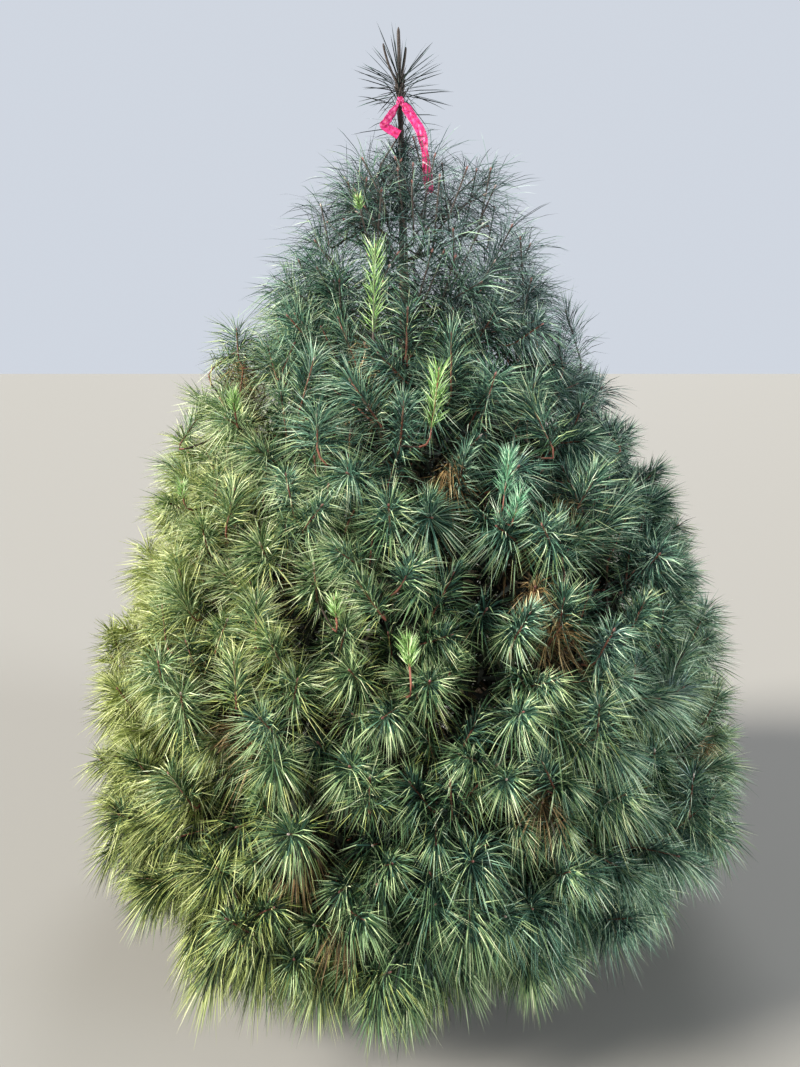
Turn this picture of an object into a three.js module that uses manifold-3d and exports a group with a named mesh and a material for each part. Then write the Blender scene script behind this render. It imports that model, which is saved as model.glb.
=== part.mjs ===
// A young pine grown in a field and sheared to a cone, as a three.js scene in millimetres, +Z up.
// The origin is the middle of the flat cut under the trunk, at ground level.
// The trunk runs unbroken from the root flare to the bare leader. Boughs leave it in whorls and
// end where they enter masses of needles. Each mass is a core, a stem, and sprays of long needles
// that stand out of the core, and it keeps to its own part of the crown.
import * as THREE from "three";
import { mergeVertices } from "three/addons/utils/BufferGeometryUtils.js";
import Module from "manifold-3d";

const wasm = await Module();
wasm.setup();
const { Manifold } = wasm;

// Driving dimensions

const treeHeight = 2485;
// Height above the ground and radius of the crown's outer surface, from the skirt to the top.
const crownOutline = [
  [95, 690], [180, 835], [300, 940], [450, 972], [620, 955], [800, 925], [1000, 860], [1200, 778],
  [1400, 680], [1600, 552], [1800, 412], [2000, 302], [2120, 232], [2220, 140], [2275, 70],
];
const crownWaves = 0.022; // how far the outline swells and dips round the tree, as a share

const buttRadius = 43;
const flareRadius = 19; // added to the trunk's radius at the ground
const flareHeight = 70;
const leaderRadius = 4.2;
const trunkLean = new THREE.Vector3(-34, 12, 0); // how far the tip stands off the butt
const trunkSides = 10;
const trunkSteps = 14;

const joinGap = 0.3; // between two pieces that meet
const finestEdge = 0.04; // shorter edges, left where two surfaces cross, are merged away
const boughRise = 115; // from where a bough leaves the trunk up to the middle of its mass
const boughSides = 5;
const boughSteps = 4;
const boughRootRadius = 12.5;
const boughTipRadius = 7.5;

const needleLength = 98;
const sprayRadius = 8; // of the woody shoot that a spray's needles stand on
const sprayLength = 30;
const sprayCount = 240;
const coreDepth = 158; // from the crown's surface in to the core of a mass
const coreGap = 7; // from a core to the edge of its mass's space
const coreFill = [0.78, 0.9]; // least and most that a core takes of the way to that edge
const skirtClearance = 185; // the lowest that a core reaches
const crowdedRadius = 250; // where the crown is narrower than this, sprays stand closer together
const lowLight = 0.47; // the inner radius of the lower masses, as a share of the crown's
const highLight = 0.3; // the same for the masses that stand on the trunk

// Whorls, from the ground up: the height of the middle of each mass, how many masses there are,
// where their middles lie between the axis and the outline, the turn of the first one, and
// whether boughs carry them.
const whorls = [
  { name: "skirt", height: 345, count: 7, share: 0.68, turn: 0.1, boughs: true },
  { name: "low", height: 700, count: 7, share: 0.67, turn: 0.55, boughs: true },
  { name: "middle", height: 1060, count: 6, share: 0.66, turn: 0.2, boughs: true },
  { name: "upper", height: 1400, count: 5, share: 0.65, turn: 0.75, boughs: false },
  { name: "high", height: 1700, count: 4, share: 0.62, turn: 0.35, boughs: false },
  { name: "top", height: 1960, count: 3, share: 0.58, turn: 0.9, boughs: false },
];
// The mass that wraps the trunk from over the last whorl to under the bare leader.
const crestFoot = 2085;
const crestTop = 2402;
const crestRadii = [46, 10];
const needlesFrom = 2215; // above this the needles stand straight on the stem
const crestSides = 6;
const crestSteps = 6;

// The two bare shoots that stand beside the leader: where they leave it, and the offset and
// height of their tips.
const leaderShoots = [
  { name: "left_leader_shoot", from: 2352, out: new THREE.Vector3(-42, -6, 0), to: 2456 },
  { name: "right_leader_shoot", from: 2362, out: new THREE.Vector3(19, 8, 0), to: 2452 },
];
const leaderShootRadii = [3.8, 2.8];
const leaderShootBend = 42; // how far above its root a leader shoot turns upright

// Colour and finish

const barkFinish = { color: 0x5d4c3f, roughness: 0.92, metalness: 0, flatShading: true };
const needleTones = {
  skirt: 0x5f7d42,
  low: 0x4f7343,
  middle: 0x456a43,
  upper: 0x3f6444,
  high: 0x3a5e45,
  top: 0x3a5c48,
  crest: 0x425f4b,
};
const needleRoughness = 0.55;

// The crown's outer surface

const goldenAngle = Math.PI * (3 - Math.sqrt(5));
const up = new THREE.Vector3(0, 0, 1);
const steepLimb = 0.85; // a limb that climbs more than this share of its length is an upright one

// A repeatable number from 0 to 1 for the index i of a thing and the use it is put to.
function chance(i, use) {
  const s = Math.sin(i * 12.9898 + use * 78.233) * 43758.5453;
  return s - Math.floor(s);
}

// Straight-line reading of a table of [where, value] pairs.
function readTable(table, at) {
  const last = table.length - 1;
  if (at <= table[0][0]) return table[0][1];
  if (at >= table[last][0]) return table[last][1];
  const k = table.findIndex(([where]) => where > at);
  const [x0, y0] = table[k - 1];
  const [x1, y1] = table[k];
  return y0 + ((y1 - y0) * (at - x0)) / (x1 - x0);
}

// The crown's radius at a height and a turn: the outline, with slow swells round the tree.
function crownRadius(height, turn) {
  const broad = Math.sin(3 * turn + height / 260) + 0.5 * Math.sin(2 * turn + 1.3);
  const narrow = 0.7 * Math.sin(5 * turn - height / 190);
  return readTable(crownOutline, height) * (1 + crownWaves * (broad + narrow));
}

// The trunk's centreline at a height, and its radius there.
function trunkCentre(height) {
  const t = height / treeHeight;
  return new THREE.Vector3(trunkLean.x * t * t, trunkLean.y * t * t, height);
}
function trunkRadius(height) {
  const t = height / treeHeight;
  const taper = leaderRadius + (buttRadius - leaderRadius) * Math.pow(1 - t, 1.08);
  return taper + flareRadius * Math.exp(-height / flareHeight);
}

// A point of the crown's surface, with the direction that faces away from the tree there.
function crownPoint(height, turn) {
  const step = 20;
  const radius = crownRadius(height, turn);
  const rise = crownRadius(height + step, turn) - crownRadius(height - step, turn);
  const slope = Math.atan2(rise, 2 * step);
  const axis = trunkCentre(height);
  return {
    at: new THREE.Vector3(axis.x + radius * Math.cos(turn), axis.y + radius * Math.sin(turn), height),
    out: new THREE.Vector3(
      Math.cos(slope) * Math.cos(turn),
      Math.cos(slope) * Math.sin(turn),
      -Math.sin(slope),
    ),
  };
}

// Solids from three.js geometry

// A geometry with nothing but positions, its shared corners merged.
function bare(geometry) {
  geometry.deleteAttribute("normal");
  geometry.deleteAttribute("uv");
  return mergeVertices(geometry, 1e-4);
}

function solidOf(geometry) {
  return new Manifold(
    new wasm.Mesh({
      numProp: 3,
      vertProperties: new Float32Array(geometry.attributes.position.array),
      triVerts: new Uint32Array(geometry.index.array),
    }),
  );
}

function geometryOf(solid) {
  const mesh = solid.getMesh();
  const geometry = new THREE.BufferGeometry();
  geometry.setAttribute("position", new THREE.BufferAttribute(mesh.vertProperties, 3));
  geometry.setIndex(new THREE.BufferAttribute(mesh.triVerts, 1));
  geometry.computeVertexNormals();
  return geometry;
}

// The largest of the bodies that a join or a cut leaves, so that no loose scrap stays, without the
// slivers that crossing surfaces leave.
function wholeBody(solid) {
  const bodies = solid.simplify(finestEdge).decompose();
  return bodies.reduce((a, b) => (a.volume() >= b.volume() ? a : b));
}

// A tapering limb along a curve: a cylinder whose rings are set square to the curve.
function limb(curve, radiusAt, sides, steps, spread = 1) {
  const geometry = bare(new THREE.CylinderGeometry(1, 1, 1, sides, steps));
  const corner = geometry.attributes.position;
  const chord = curve.getPoint(1).sub(curve.getPoint(0)).normalize();
  const level = Math.abs(chord.z) > steepLimb ? new THREE.Vector3(0, 1, 0) : up;
  for (let i = 0; i < corner.count; i++) {
    const t = Math.pow(corner.getY(i) + 0.5, spread);
    const tangent = curve.getTangent(t);
    const side = new THREE.Vector3().crossVectors(level, tangent).normalize();
    const over = new THREE.Vector3().crossVectors(side, tangent);
    const point = curve
      .getPoint(t)
      .addScaledVector(side, corner.getX(i) * radiusAt(t))
      .addScaledVector(over, corner.getZ(i) * radiusAt(t));
    corner.setXYZ(i, point.x, point.y, point.z);
  }
  return solidOf(geometry);
}

// Raises faces of a closed geometry into thin points: tipOf gives the tip for a face's middle and
// its outward direction, or null where the face stays flat.
function raiseFaces(geometry, tipOf) {
  const corner = geometry.attributes.position;
  const index = geometry.index.array;
  const places = Array.from(corner.array);
  const faces = [];
  for (let i = 0; i < index.length; i += 3) {
    const [a, b, c] = index.slice(i, i + 3);
    const [pa, pb, pc] = [a, b, c].map((k) => new THREE.Vector3().fromBufferAttribute(corner, k));
    const middle = new THREE.Vector3().add(pa).add(pb).add(pc).divideScalar(3);
    const out = pb.clone().sub(pa).cross(pc.clone().sub(pa)).normalize();
    const tip = tipOf(middle, out, i / 3);
    if (!tip) {
      faces.push(a, b, c);
      continue;
    }
    const t = places.length / 3;
    places.push(tip.x, tip.y, tip.z);
    faces.push(a, b, t, b, c, t, c, a, t);
  }
  const raised = new THREE.BufferGeometry();
  raised.setAttribute("position", new THREE.Float32BufferAttribute(places, 3));
  raised.setIndex(faces);
  return raised;
}

// The trunk, and the same trunk a little fatter, which cuts its neighbours clear of it

class TrunkCurve extends THREE.Curve {
  getPoint(t) {
    return trunkCentre(t * treeHeight);
  }
  getTangent(t) {
    return new THREE.Vector3(2 * t * trunkLean.x, 2 * t * trunkLean.y, treeHeight).normalize();
  }
}

function trunkSolid(growth) {
  const radiusAt = (t) => trunkRadius(t * treeHeight) + growth;
  return limb(new TrunkCurve(), radiusAt, trunkSides, trunkSteps, 1.35);
}

const trunk = trunkSolid(0);
const trunkClear = trunkSolid(joinGap);

// The masses, and the share of the crown that each one keeps to

const masses = [];
const limbs = []; // centrelines that needles keep clear of: {from, to, radius}
for (const whorl of whorls) {
  for (let k = 0; k < whorl.count; k++) {
    const turn = ((k + whorl.turn + 0.16 * (chance(k, whorl.height) - 0.5)) * 2 * Math.PI) / whorl.count;
    const height = whorl.height + 40 * (chance(k, whorl.height + 1) - 0.5);
    const axis = trunkCentre(height);
    const reach = crownRadius(height, turn) * whorl.share;
    const outward = new THREE.Vector3(Math.cos(turn), Math.sin(turn), 0);
    masses.push({
      name: `${whorl.name}_needles_${k + 1}`,
      boughName: whorl.boughs ? `${whorl.name}_bough_${k + 1}` : null,
      tone: whorl.name,
      whorl,
      turn,
      outward,
      centre: axis.addScaledVector(outward, reach),
      light: whorl.boughs ? lowLight : highLight,
    });
  }
}
const crestMiddle = (crestFoot + crestTop) / 2;
const crest = { name: "leader_needles", tone: "crest", centre: trunkCentre(crestMiddle), light: 0 };
masses.push(crest);

// How far inside its mass's space a point lies. The border between two masses is the plane
// midway between their middles.
function insideSpace(mass, point) {
  let least = Infinity;
  for (const other of masses) {
    if (other === mass) continue;
    const between = other.centre.clone().sub(mass.centre);
    const half = between.length() / 2;
    const along = point.clone().sub(mass.centre).dot(between.normalize());
    least = Math.min(least, half - along);
  }
  return least;
}

function nearestMass(point) {
  return masses.reduce((a, b) =>
    a.centre.distanceToSquared(point) <= b.centre.distanceToSquared(point) ? a : b,
  );
}

// Whether a straight piece from a to b, of radius ra to rb, is clear of the trunk and the limbs.
function clearOfLimbs(a, b, ra, rb) {
  const steps = 6;
  for (let i = 0; i <= steps; i++) {
    const p = a.clone().lerp(b, i / steps);
    const r = ra + ((rb - ra) * i) / steps + 2;
    const trunkGap = Math.hypot(p.x - trunkCentre(p.z).x, p.y - trunkCentre(p.z).y) - trunkRadius(p.z);
    if (p.z < treeHeight + 5 && trunkGap < r) return false;
    for (const wood of limbs) {
      const line = new THREE.Line3(wood.from, wood.to);
      const nearest = line.closestPointToPoint(p, true, new THREE.Vector3());
      if (nearest.distanceTo(p) < wood.radius + r) return false;
    }
  }
  return true;
}

// A bough: it leaves the trunk rising, levels out, and ends where its mass begins.
function boughOf(mass) {
  const { outward, centre } = mass;
  const inner = crownRadius(centre.z, mass.turn) * (mass.light - 0.05);
  const root = trunkCentre(centre.z - boughRise);
  const tip = trunkCentre(centre.z - 28).addScaledVector(outward, inner);
  const bend = trunkCentre(centre.z - 62).addScaledVector(outward, inner * 0.45);
  const curve = new THREE.QuadraticBezierCurve3(root, bend, tip);
  const radiusAt = (t) => boughRootRadius + (boughTipRadius - boughRootRadius) * t;
  limbs.push({ from: root, to: bend, radius: boughRootRadius });
  limbs.push({ from: bend, to: tip, radius: boughTipRadius + 2 });
  mass.stemFrom = tip.clone().addScaledVector(curve.getTangent(1), joinGap);
  mass.stemHeading = curve.getTangent(1);
  return wholeBody(limb(curve, radiusAt, boughSides, boughSteps).subtract(trunkClear));
}

// The stem of a mass: it goes on from its bough's tip, or stands on the trunk, and ends in the core.
function stemOf(mass) {
  const start = mass.stemFrom ?? trunkCentre(mass.centre.z - 75);
  const heading = mass.stemHeading ?? mass.outward.clone().addScaledVector(up, 0.35).normalize();
  const half = start.distanceTo(mass.centre) / 2;
  const bend = start.clone().addScaledVector(heading, half);
  const curve = new THREE.QuadraticBezierCurve3(start, bend, mass.centre);
  if (!mass.stemFrom) limbs.push({ from: start, to: bend, radius: boughTipRadius });
  return limb(curve, (t) => boughTipRadius - 2 * t, boughSides, 3);
}

// The core of a mass: a ball whose corners go out from its middle until they would leave the mass's
// space, come too near the crown's surface or the ground, or reach the airy middle of the tree.
function coreOf(mass) {
  const inCore = (p) => {
    const axis = trunkCentre(p.z);
    const radius = Math.hypot(p.x - axis.x, p.y - axis.y);
    const turn = Math.atan2(p.y - axis.y, p.x - axis.x);
    const outer = crownRadius(p.z, turn);
    const depth = Math.min(coreDepth, 0.4 * outer);
    const inner = Math.max(mass.light * outer, trunkRadius(p.z) + 14);
    const inCrown = radius < outer - depth && radius > inner && p.z > skirtClearance;
    return inCrown && insideSpace(mass, p) > coreGap;
  };
  const ball = bare(new THREE.IcosahedronGeometry(1, 1));
  const corner = ball.attributes.position;
  for (let i = 0; i < corner.count; i++) {
    const way = new THREE.Vector3().fromBufferAttribute(corner, i).normalize();
    let reach = 10;
    while (reach < 600 && inCore(mass.centre.clone().addScaledVector(way, reach + 5))) reach += 5;
    reach *= THREE.MathUtils.lerp(...coreFill, chance(i, mass.centre.z));
    const point = mass.centre.clone().addScaledVector(way, reach);
    corner.setXYZ(i, point.x, point.y, point.z);
  }
  return solidOf(ball);
}

// The way that a shoot points: outward at the skirt, and more and more upward towards the top.
function shootHeading(out, height) {
  const lift = readTable([[180, -0.05], [500, 0.35], [1000, 0.65], [1600, 0.9], [2150, 1.4]], height);
  return out.clone().addScaledVector(up, lift).normalize();
}

// A spray: a short four-sided shoot on a twig that tapers back to its root, with a needle raised on
// every other face. Needles lean forward along the shoot, droop a little, and stop at the borders
// of the mass's space.
function sprayOf(mass, base, heading, root, seed) {
  const body = bare(new THREE.CylinderGeometry(sprayRadius, sprayRadius, sprayLength, 4, 1));
  const turnTo = new THREE.Quaternion().setFromUnitVectors(new THREE.Vector3(0, 1, 0), heading);
  const roll = new THREE.Quaternion().setFromAxisAngle(heading, 2 * Math.PI * chance(seed, 3));
  body.applyQuaternion(turnTo).applyQuaternion(roll).translate(base.x, base.y, base.z);
  const foot = base.clone().addScaledVector(heading, -sprayLength / 2);
  const corner = body.attributes.position;
  let footCorner = 0;
  for (let i = 0; i < corner.count; i++) {
    const p = new THREE.Vector3().fromBufferAttribute(corner, i);
    if (p.distanceTo(foot) < 1) footCorner = i;
  }
  corner.setXYZ(footCorner, root.x, root.y, root.z);
  let needles = 0;
  const raised = raiseFaces(body, (middle, out, face) => {
    if (middle.distanceTo(root) < base.distanceTo(root) - sprayLength) return null;
    const lean = 0.55 + 0.5 * chance(seed + face, 5);
    const way = out.clone().addScaledVector(heading, lean).addScaledVector(up, -0.16).normalize();
    const length = needleLength * (0.86 + 0.2 * chance(seed + face, 7));
    const tip = middle.clone().addScaledVector(way, length);
    if (insideSpace(mass, tip) < 1.5 || tip.z < 60 || !clearOfLimbs(middle, tip, 9, 1)) return null;
    needles += 1;
    return tip;
  });
  return needles >= 3 ? solidOf(raised) : null;
}

// Where the sprays stand: a spiral that turns by the golden angle and climbs so that each spray
// has an even share of the crown's surface.
function sprayPlaces() {
  const rings = [];
  let area = 0;
  const step = 5;
  for (let z = crownOutline[0][0]; z < crownOutline.at(-1)[0]; z += step) {
    const radius = readTable(crownOutline, z);
    const slant = Math.hypot(step, readTable(crownOutline, z + step) - radius);
    area += Math.max(radius, crowdedRadius) * slant;
    rings.push([area, z]);
  }
  return Array.from({ length: sprayCount }, (_, i) => ({
    height: readTable(rings, (area * (i + 0.5)) / sprayCount),
    turn: (i * goldenAngle) % (2 * Math.PI),
  }));
}

// Where a twig starts: deep in the core of its mass.
function rootOf(mass, base) {
  if (mass !== crest) return mass.centre.clone().lerp(base, 0.15);
  const height = THREE.MathUtils.clamp(base.z - 45, crestFoot + 20, crestTop - 60);
  const axis = trunkCentre(height);
  const outward = base.clone().sub(trunkCentre(base.z)).setZ(0).normalize();
  return axis.addScaledVector(outward, trunkRadius(height) + 8);
}

// Places each spray in the mass whose space it stands in, a needle's length inside the surface.
function growSprays() {
  const grown = new Map(masses.map((mass) => [mass, []]));
  sprayPlaces().forEach(({ height, turn }, i) => {
    const { at, out } = crownPoint(height, turn);
    const heading = shootHeading(out, height);
    const base = at.addScaledVector(heading, -0.9 * needleLength);
    const mass = nearestMass(base);
    const inward = mass.centre.clone().sub(base).normalize();
    for (let k = 0; k < 8 && insideSpace(mass, base) < 24; k++) base.addScaledVector(inward, 8);
    if (insideSpace(mass, base) < 16) return;
    const root = rootOf(mass, base);
    if (!clearOfLimbs(root.clone().lerp(base, 0.5), base, 5, 8)) return;
    const spray = sprayOf(mass, base, heading, root, i);
    if (spray) grown.get(mass).push(spray);
  });
  return grown;
}

// The core of the leader's needles: a slim cone round the stem with a needle raised on every face.
// The lower needles spread, and the upper ones stand up round the leader.
function crestCore() {
  const length = crestTop - crestFoot;
  const [foot, top] = crestRadii;
  const cone = bare(new THREE.CylinderGeometry(top, foot, length, crestSides, crestSteps));
  cone.rotateX(Math.PI / 2).translate(crest.centre.x, crest.centre.y, crest.centre.z);
  const raised = raiseFaces(cone, (middle, out, face) => {
    if (Math.abs(out.z) > 0.5 || middle.z < needlesFrom) return null;
    const lift = readTable([[needlesFrom, -0.1], [crestTop - 60, 0.2], [crestTop, 0.9]], middle.z);
    const way = out.clone().addScaledVector(up, lift + 0.5 * (chance(face, 11) - 0.5)).normalize();
    const tip = middle.clone().addScaledVector(way, needleLength * (0.95 + 0.25 * chance(face, 13)));
    return clearOfLimbs(middle, tip, -1, 0.5) && insideSpace(crest, tip) > 1.5 ? tip : null;
  });
  return solidOf(raised);
}

// Assembly

const pine = new THREE.Group();
const wood = new THREE.Group();
const foliage = new THREE.Group();
pine.add(wood, foliage);

function addMesh(group, name, solid, finish) {
  const mesh = new THREE.Mesh(geometryOf(solid), new THREE.MeshStandardMaterial(finish));
  mesh.name = name;
  group.add(mesh);
}

const needleFinish = (tone) => ({
  color: needleTones[tone], roughness: needleRoughness, metalness: 0, flatShading: true,
});

addMesh(wood, "trunk", trunk, barkFinish);

const shootClearances = leaderShoots.map((shoot) => {
  const from = trunkCentre(shoot.from);
  const to = trunkCentre(shoot.to).add(shoot.out);
  const bend = trunkCentre(shoot.from + leaderShootBend).addScaledVector(shoot.out, 0.75);
  const curve = new THREE.QuadraticBezierCurve3(from, bend, to);
  const [rootRadius, tipRadius] = leaderShootRadii;
  const radiusAt = (t) => rootRadius + (tipRadius - rootRadius) * t;
  const grown = (growth) => limb(curve, (t) => radiusAt(t) + growth, boughSides, 3);
  limbs.push({ from, to: bend, radius: rootRadius });
  limbs.push({ from: bend, to, radius: rootRadius });
  addMesh(wood, shoot.name, wholeBody(grown(0).subtract(trunkClear)), barkFinish);
  return grown(joinGap);
});

for (const mass of masses) {
  if (mass.boughName) addMesh(wood, mass.boughName, boughOf(mass), barkFinish);
}

const cores = new Map();
for (const mass of masses) {
  cores.set(mass, mass === crest ? [crestCore()] : [coreOf(mass), stemOf(mass)]);
}
const sprays = growSprays();
const clearance = Manifold.union([trunkClear, ...shootClearances]);
for (const mass of masses) {
  const joined = Manifold.union([...cores.get(mass), ...sprays.get(mass)]).subtract(clearance);
  addMesh(foliage, mass.name, wholeBody(joined), needleFinish(mass.tone));
}

export default pine;
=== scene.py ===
# %% [markdown]
# A sheared pine, from the trunk to the needles
# The tree is a young pine with long soft needles, clipped to a full cone. Its solids are already
# packed as a fixed frame: a trunk, boughs, and masses of needles that each keep to their own part
# of the crown. This lesson dresses that frame. It grows the same tree again by the same rules,
# and carries them on to twigs, buds and single needles.

# %% Load the frame
import math

import bpy
import numpy as np
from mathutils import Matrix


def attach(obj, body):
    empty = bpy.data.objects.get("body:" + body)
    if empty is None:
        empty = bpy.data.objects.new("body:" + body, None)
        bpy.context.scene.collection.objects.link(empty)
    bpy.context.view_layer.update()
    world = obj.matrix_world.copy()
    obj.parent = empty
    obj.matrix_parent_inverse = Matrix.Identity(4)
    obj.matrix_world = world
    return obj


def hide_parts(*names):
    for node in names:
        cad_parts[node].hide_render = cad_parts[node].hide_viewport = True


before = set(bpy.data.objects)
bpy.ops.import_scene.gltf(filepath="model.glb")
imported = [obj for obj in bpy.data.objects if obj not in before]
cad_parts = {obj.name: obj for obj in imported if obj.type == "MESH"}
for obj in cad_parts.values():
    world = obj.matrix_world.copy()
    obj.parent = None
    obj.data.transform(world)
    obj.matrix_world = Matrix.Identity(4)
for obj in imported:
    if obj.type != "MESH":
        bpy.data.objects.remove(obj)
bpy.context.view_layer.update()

# %% [markdown]
# The camera
# The photo was taken with a phone held at eye height and tipped down a little. A camera of that
# field of view in that place gives every height and width its right share of the picture, and a
# few later steps use it the other way round: they turn a place in the picture into one on the
# tree. Blender's sensor width is that of the picture's long side.

# %% Camera
IMAGE_WIDTH, IMAGE_HEIGHT = 800, 1067
FOCAL_PIXELS = 801.0
SENSOR_MM = 36.0
CAMERA_PLACE = np.array([-0.03, -2.35, 1.6])
CAMERA_PITCH = math.radians(-11.5)
FAR_CLIP = 1000.0

camera_data = bpy.data.cameras.new("camera")
camera_data.sensor_width = SENSOR_MM
camera_data.lens = SENSOR_MM * FOCAL_PIXELS / IMAGE_HEIGHT
camera_data.clip_end = FAR_CLIP
camera = bpy.data.objects.new("camera", camera_data)
camera.location = CAMERA_PLACE
camera.rotation_euler = (math.radians(90) + CAMERA_PITCH, 0, 0)
bpy.context.scene.collection.objects.link(camera)
bpy.context.scene.camera = camera

FORWARD = np.array([0, math.cos(CAMERA_PITCH), math.sin(CAMERA_PITCH)])
UPWARD = np.array([0, -math.sin(CAMERA_PITCH), math.cos(CAMERA_PITCH)])
RIGHTWARD = np.array([1.0, 0, 0])


def pixel_ray(pixel):
    """Unit direction through a pixel: forward + right (x - w/2) / f + up (h/2 - y) / f."""
    across = (pixel[0] - IMAGE_WIDTH / 2) / FOCAL_PIXELS
    above = (IMAGE_HEIGHT / 2 - pixel[1]) / FOCAL_PIXELS
    ray = FORWARD + across * RIGHTWARD + above * UPWARD
    return ray / np.linalg.norm(ray)


def pixel_of(points):
    """The way back: the pixels where points appear, and how far off they are."""
    offset = points - CAMERA_PLACE
    depth = offset @ FORWARD
    across, above = (FOCAL_PIXELS * (offset @ way) / depth for way in (RIGHTWARD, UPWARD))
    return np.stack([IMAGE_WIDTH / 2 + across, IMAGE_HEIGHT / 2 - above], axis=-1), depth


print(f"camera {camera_data.lens:.1f} mm, {math.degrees(-CAMERA_PITCH):.1f} degrees down")

# %% [markdown]
# The rules that the tree grew by
# A plant is easiest to detail when its rules are known. These are the rules of the solids,
# written again in metres: the crown's outline by height, the trunk's line and taper, and the
# whorls in which the masses stand. Everything finer hangs on these few numbers, so it cannot
# drift away from the solids.

# %% Sizes of the tree
TREE_HEIGHT = 2.485
CROWN_OUTLINE = np.array([
    [0.095, 0.690], [0.180, 0.835], [0.300, 0.940], [0.450, 0.972], [0.620, 0.955],
    [0.800, 0.925], [1.000, 0.860], [1.200, 0.778], [1.400, 0.680], [1.600, 0.552],
    [1.800, 0.412], [2.000, 0.302], [2.120, 0.232], [2.220, 0.140], [2.275, 0.070],
])
CROWN_WAVES = 0.022  # of the radius
BUTT_RADIUS = 0.043
FLARE_RADIUS = 0.019
FLARE_HEIGHT = 0.070
LEADER_RADIUS = 0.0042
TRUNK_LEAN = np.array([-0.034, 0.012, 0.0])
BOUGH_RISE = 0.115
BOUGH_ROOT_RADIUS = 0.0125
BOUGH_TIP_RADIUS = 0.0075
NEEDLE_LENGTH = 0.098
LOW_LIGHT, HIGH_LIGHT = 0.47, 0.3  # share of the radius at which a mass begins
CROWDED_RADIUS = 0.36  # a narrower stretch of crown bears as many shoots as one this wide
CREST_FOOT, CREST_TOP = 2.085, 2.402  # of the needles round the leader
GOLDEN_ANGLE = math.pi * (3 - math.sqrt(5))
UP = np.array([0.0, 0.0, 1.0])

# Each whorl: name, height of its masses' middles, how many, where they lie between the axis and
# the outline, the turn of the first one, and whether boughs carry them.
WHORLS = [
    ("skirt", 0.345, 7, 0.68, 0.10, True),
    ("low", 0.700, 7, 0.67, 0.55, True),
    ("middle", 1.060, 6, 0.66, 0.20, True),
    ("upper", 1.400, 5, 0.65, 0.75, False),
    ("high", 1.700, 4, 0.62, 0.35, False),
    ("top", 1.960, 3, 0.58, 0.90, False),
]
print(len(WHORLS), "whorls under a leader that ends", TREE_HEIGHT, "m up")


# %% Crown and trunk as functions
def chance(i, use):
    """A repeatable number from 0 to 1: the fraction of sin(12.9898 i + 78.233 use) 43758.5453."""
    s = np.sin(np.asarray(i) * 12.9898 + np.asarray(use) * 78.233) * 43758.5453
    return s - np.floor(s)


def unit(vectors):
    """Vectors of length 1 the same way."""
    return vectors / np.linalg.norm(vectors, axis=-1, keepdims=True)


def crown_radius(height, turn):
    """The outline at that height, times 1 plus slow sine swells round the tree."""
    broad = np.sin(3 * turn + height / 0.26) + 0.5 * np.sin(2 * turn + 1.3)
    narrow = 0.7 * np.sin(5 * turn - height / 0.19)
    outline = np.interp(height, CROWN_OUTLINE[:, 0], CROWN_OUTLINE[:, 1])
    return outline * (1 + CROWN_WAVES * (broad + narrow))


def trunk_centre(height):
    """The trunk's line: it leans by the square of the height."""
    height = np.asarray(height, float)
    lean = (height / TREE_HEIGHT)[..., None] ** 2 * TRUNK_LEAN
    return lean + height[..., None] * UP


def trunk_radius(height):
    """Taper (1 - t) ** 1.08 from butt to leader, plus a root flare that dies away with height."""
    t = np.clip(np.asarray(height, float) / TREE_HEIGHT, 0, 1)
    taper = LEADER_RADIUS + (BUTT_RADIUS - LEADER_RADIUS) * (1 - t) ** 1.08
    return taper + FLARE_RADIUS * np.exp(-np.asarray(height) / FLARE_HEIGHT)


def around(turn):
    """Level unit vectors at those turns."""
    turn = np.asarray(turn, float)
    return np.stack([np.cos(turn), np.sin(turn), np.zeros_like(turn)], axis=-1)


def crown_point(height, turn):
    """Points of the crown's surface, and the directions that face away from the tree there."""
    step = 0.02
    radius = crown_radius(height, turn)
    rise = crown_radius(height + step, turn) - crown_radius(height - step, turn)
    slope = np.arctan2(rise, 2 * step)
    at = trunk_centre(height) + radius[..., None] * around(turn)
    out = np.cos(slope)[..., None] * around(turn) - np.sin(slope)[..., None] * UP
    return at, out


SIGHT = np.linspace(1.0, 3.5, 1200)  # the distances at which a line of sight is tried


def crown_spot(pixel):
    """The first point along a pixel's ray that is inside the crown's outline."""
    points = CAMERA_PLACE + SIGHT[:, None] * pixel_ray(pixel)
    level = points - trunk_centre(points[:, 2])
    turn = np.arctan2(level[:, 1], level[:, 0])
    depth = crown_radius(points[:, 2], turn) - np.hypot(level[:, 0], level[:, 1])
    inside = np.flatnonzero(depth > 0)
    return points[inside[0] if len(inside) else np.argmax(depth)]


print(f"at 1 m the crown reaches {crown_radius(1.0, 0.0):.2f} m and the trunk is "
      f"{2000 * trunk_radius(1.0):.0f} mm thick")


# %% The masses and their places
MASS_TURN_SCATTER, MASS_HEIGHT_SCATTER = 0.16, 0.040  # of a step round the whorl, and metres


def whorl_masses(name, height, count, share, first, boughs):
    """One entry for each mass of a whorl, as the solids place them."""
    made = []
    for k in range(count):
        millimetres = height * 1000
        turn = k + first + MASS_TURN_SCATTER * (chance(k, millimetres) - 0.5)
        turn = turn * 2 * math.pi / count
        middle = height + MASS_HEIGHT_SCATTER * (chance(k, millimetres + 1) - 0.5)
        centre = trunk_centre(middle) + around(turn) * crown_radius(middle, turn) * share
        made.append({
            "name": f"{name}_needles_{k + 1}",
            "bough": f"{name}_bough_{k + 1}" if boughs else None,
            "turn": turn,
            "centre": centre,
            "light": LOW_LIGHT if boughs else HIGH_LIGHT,
        })
    return made


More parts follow.
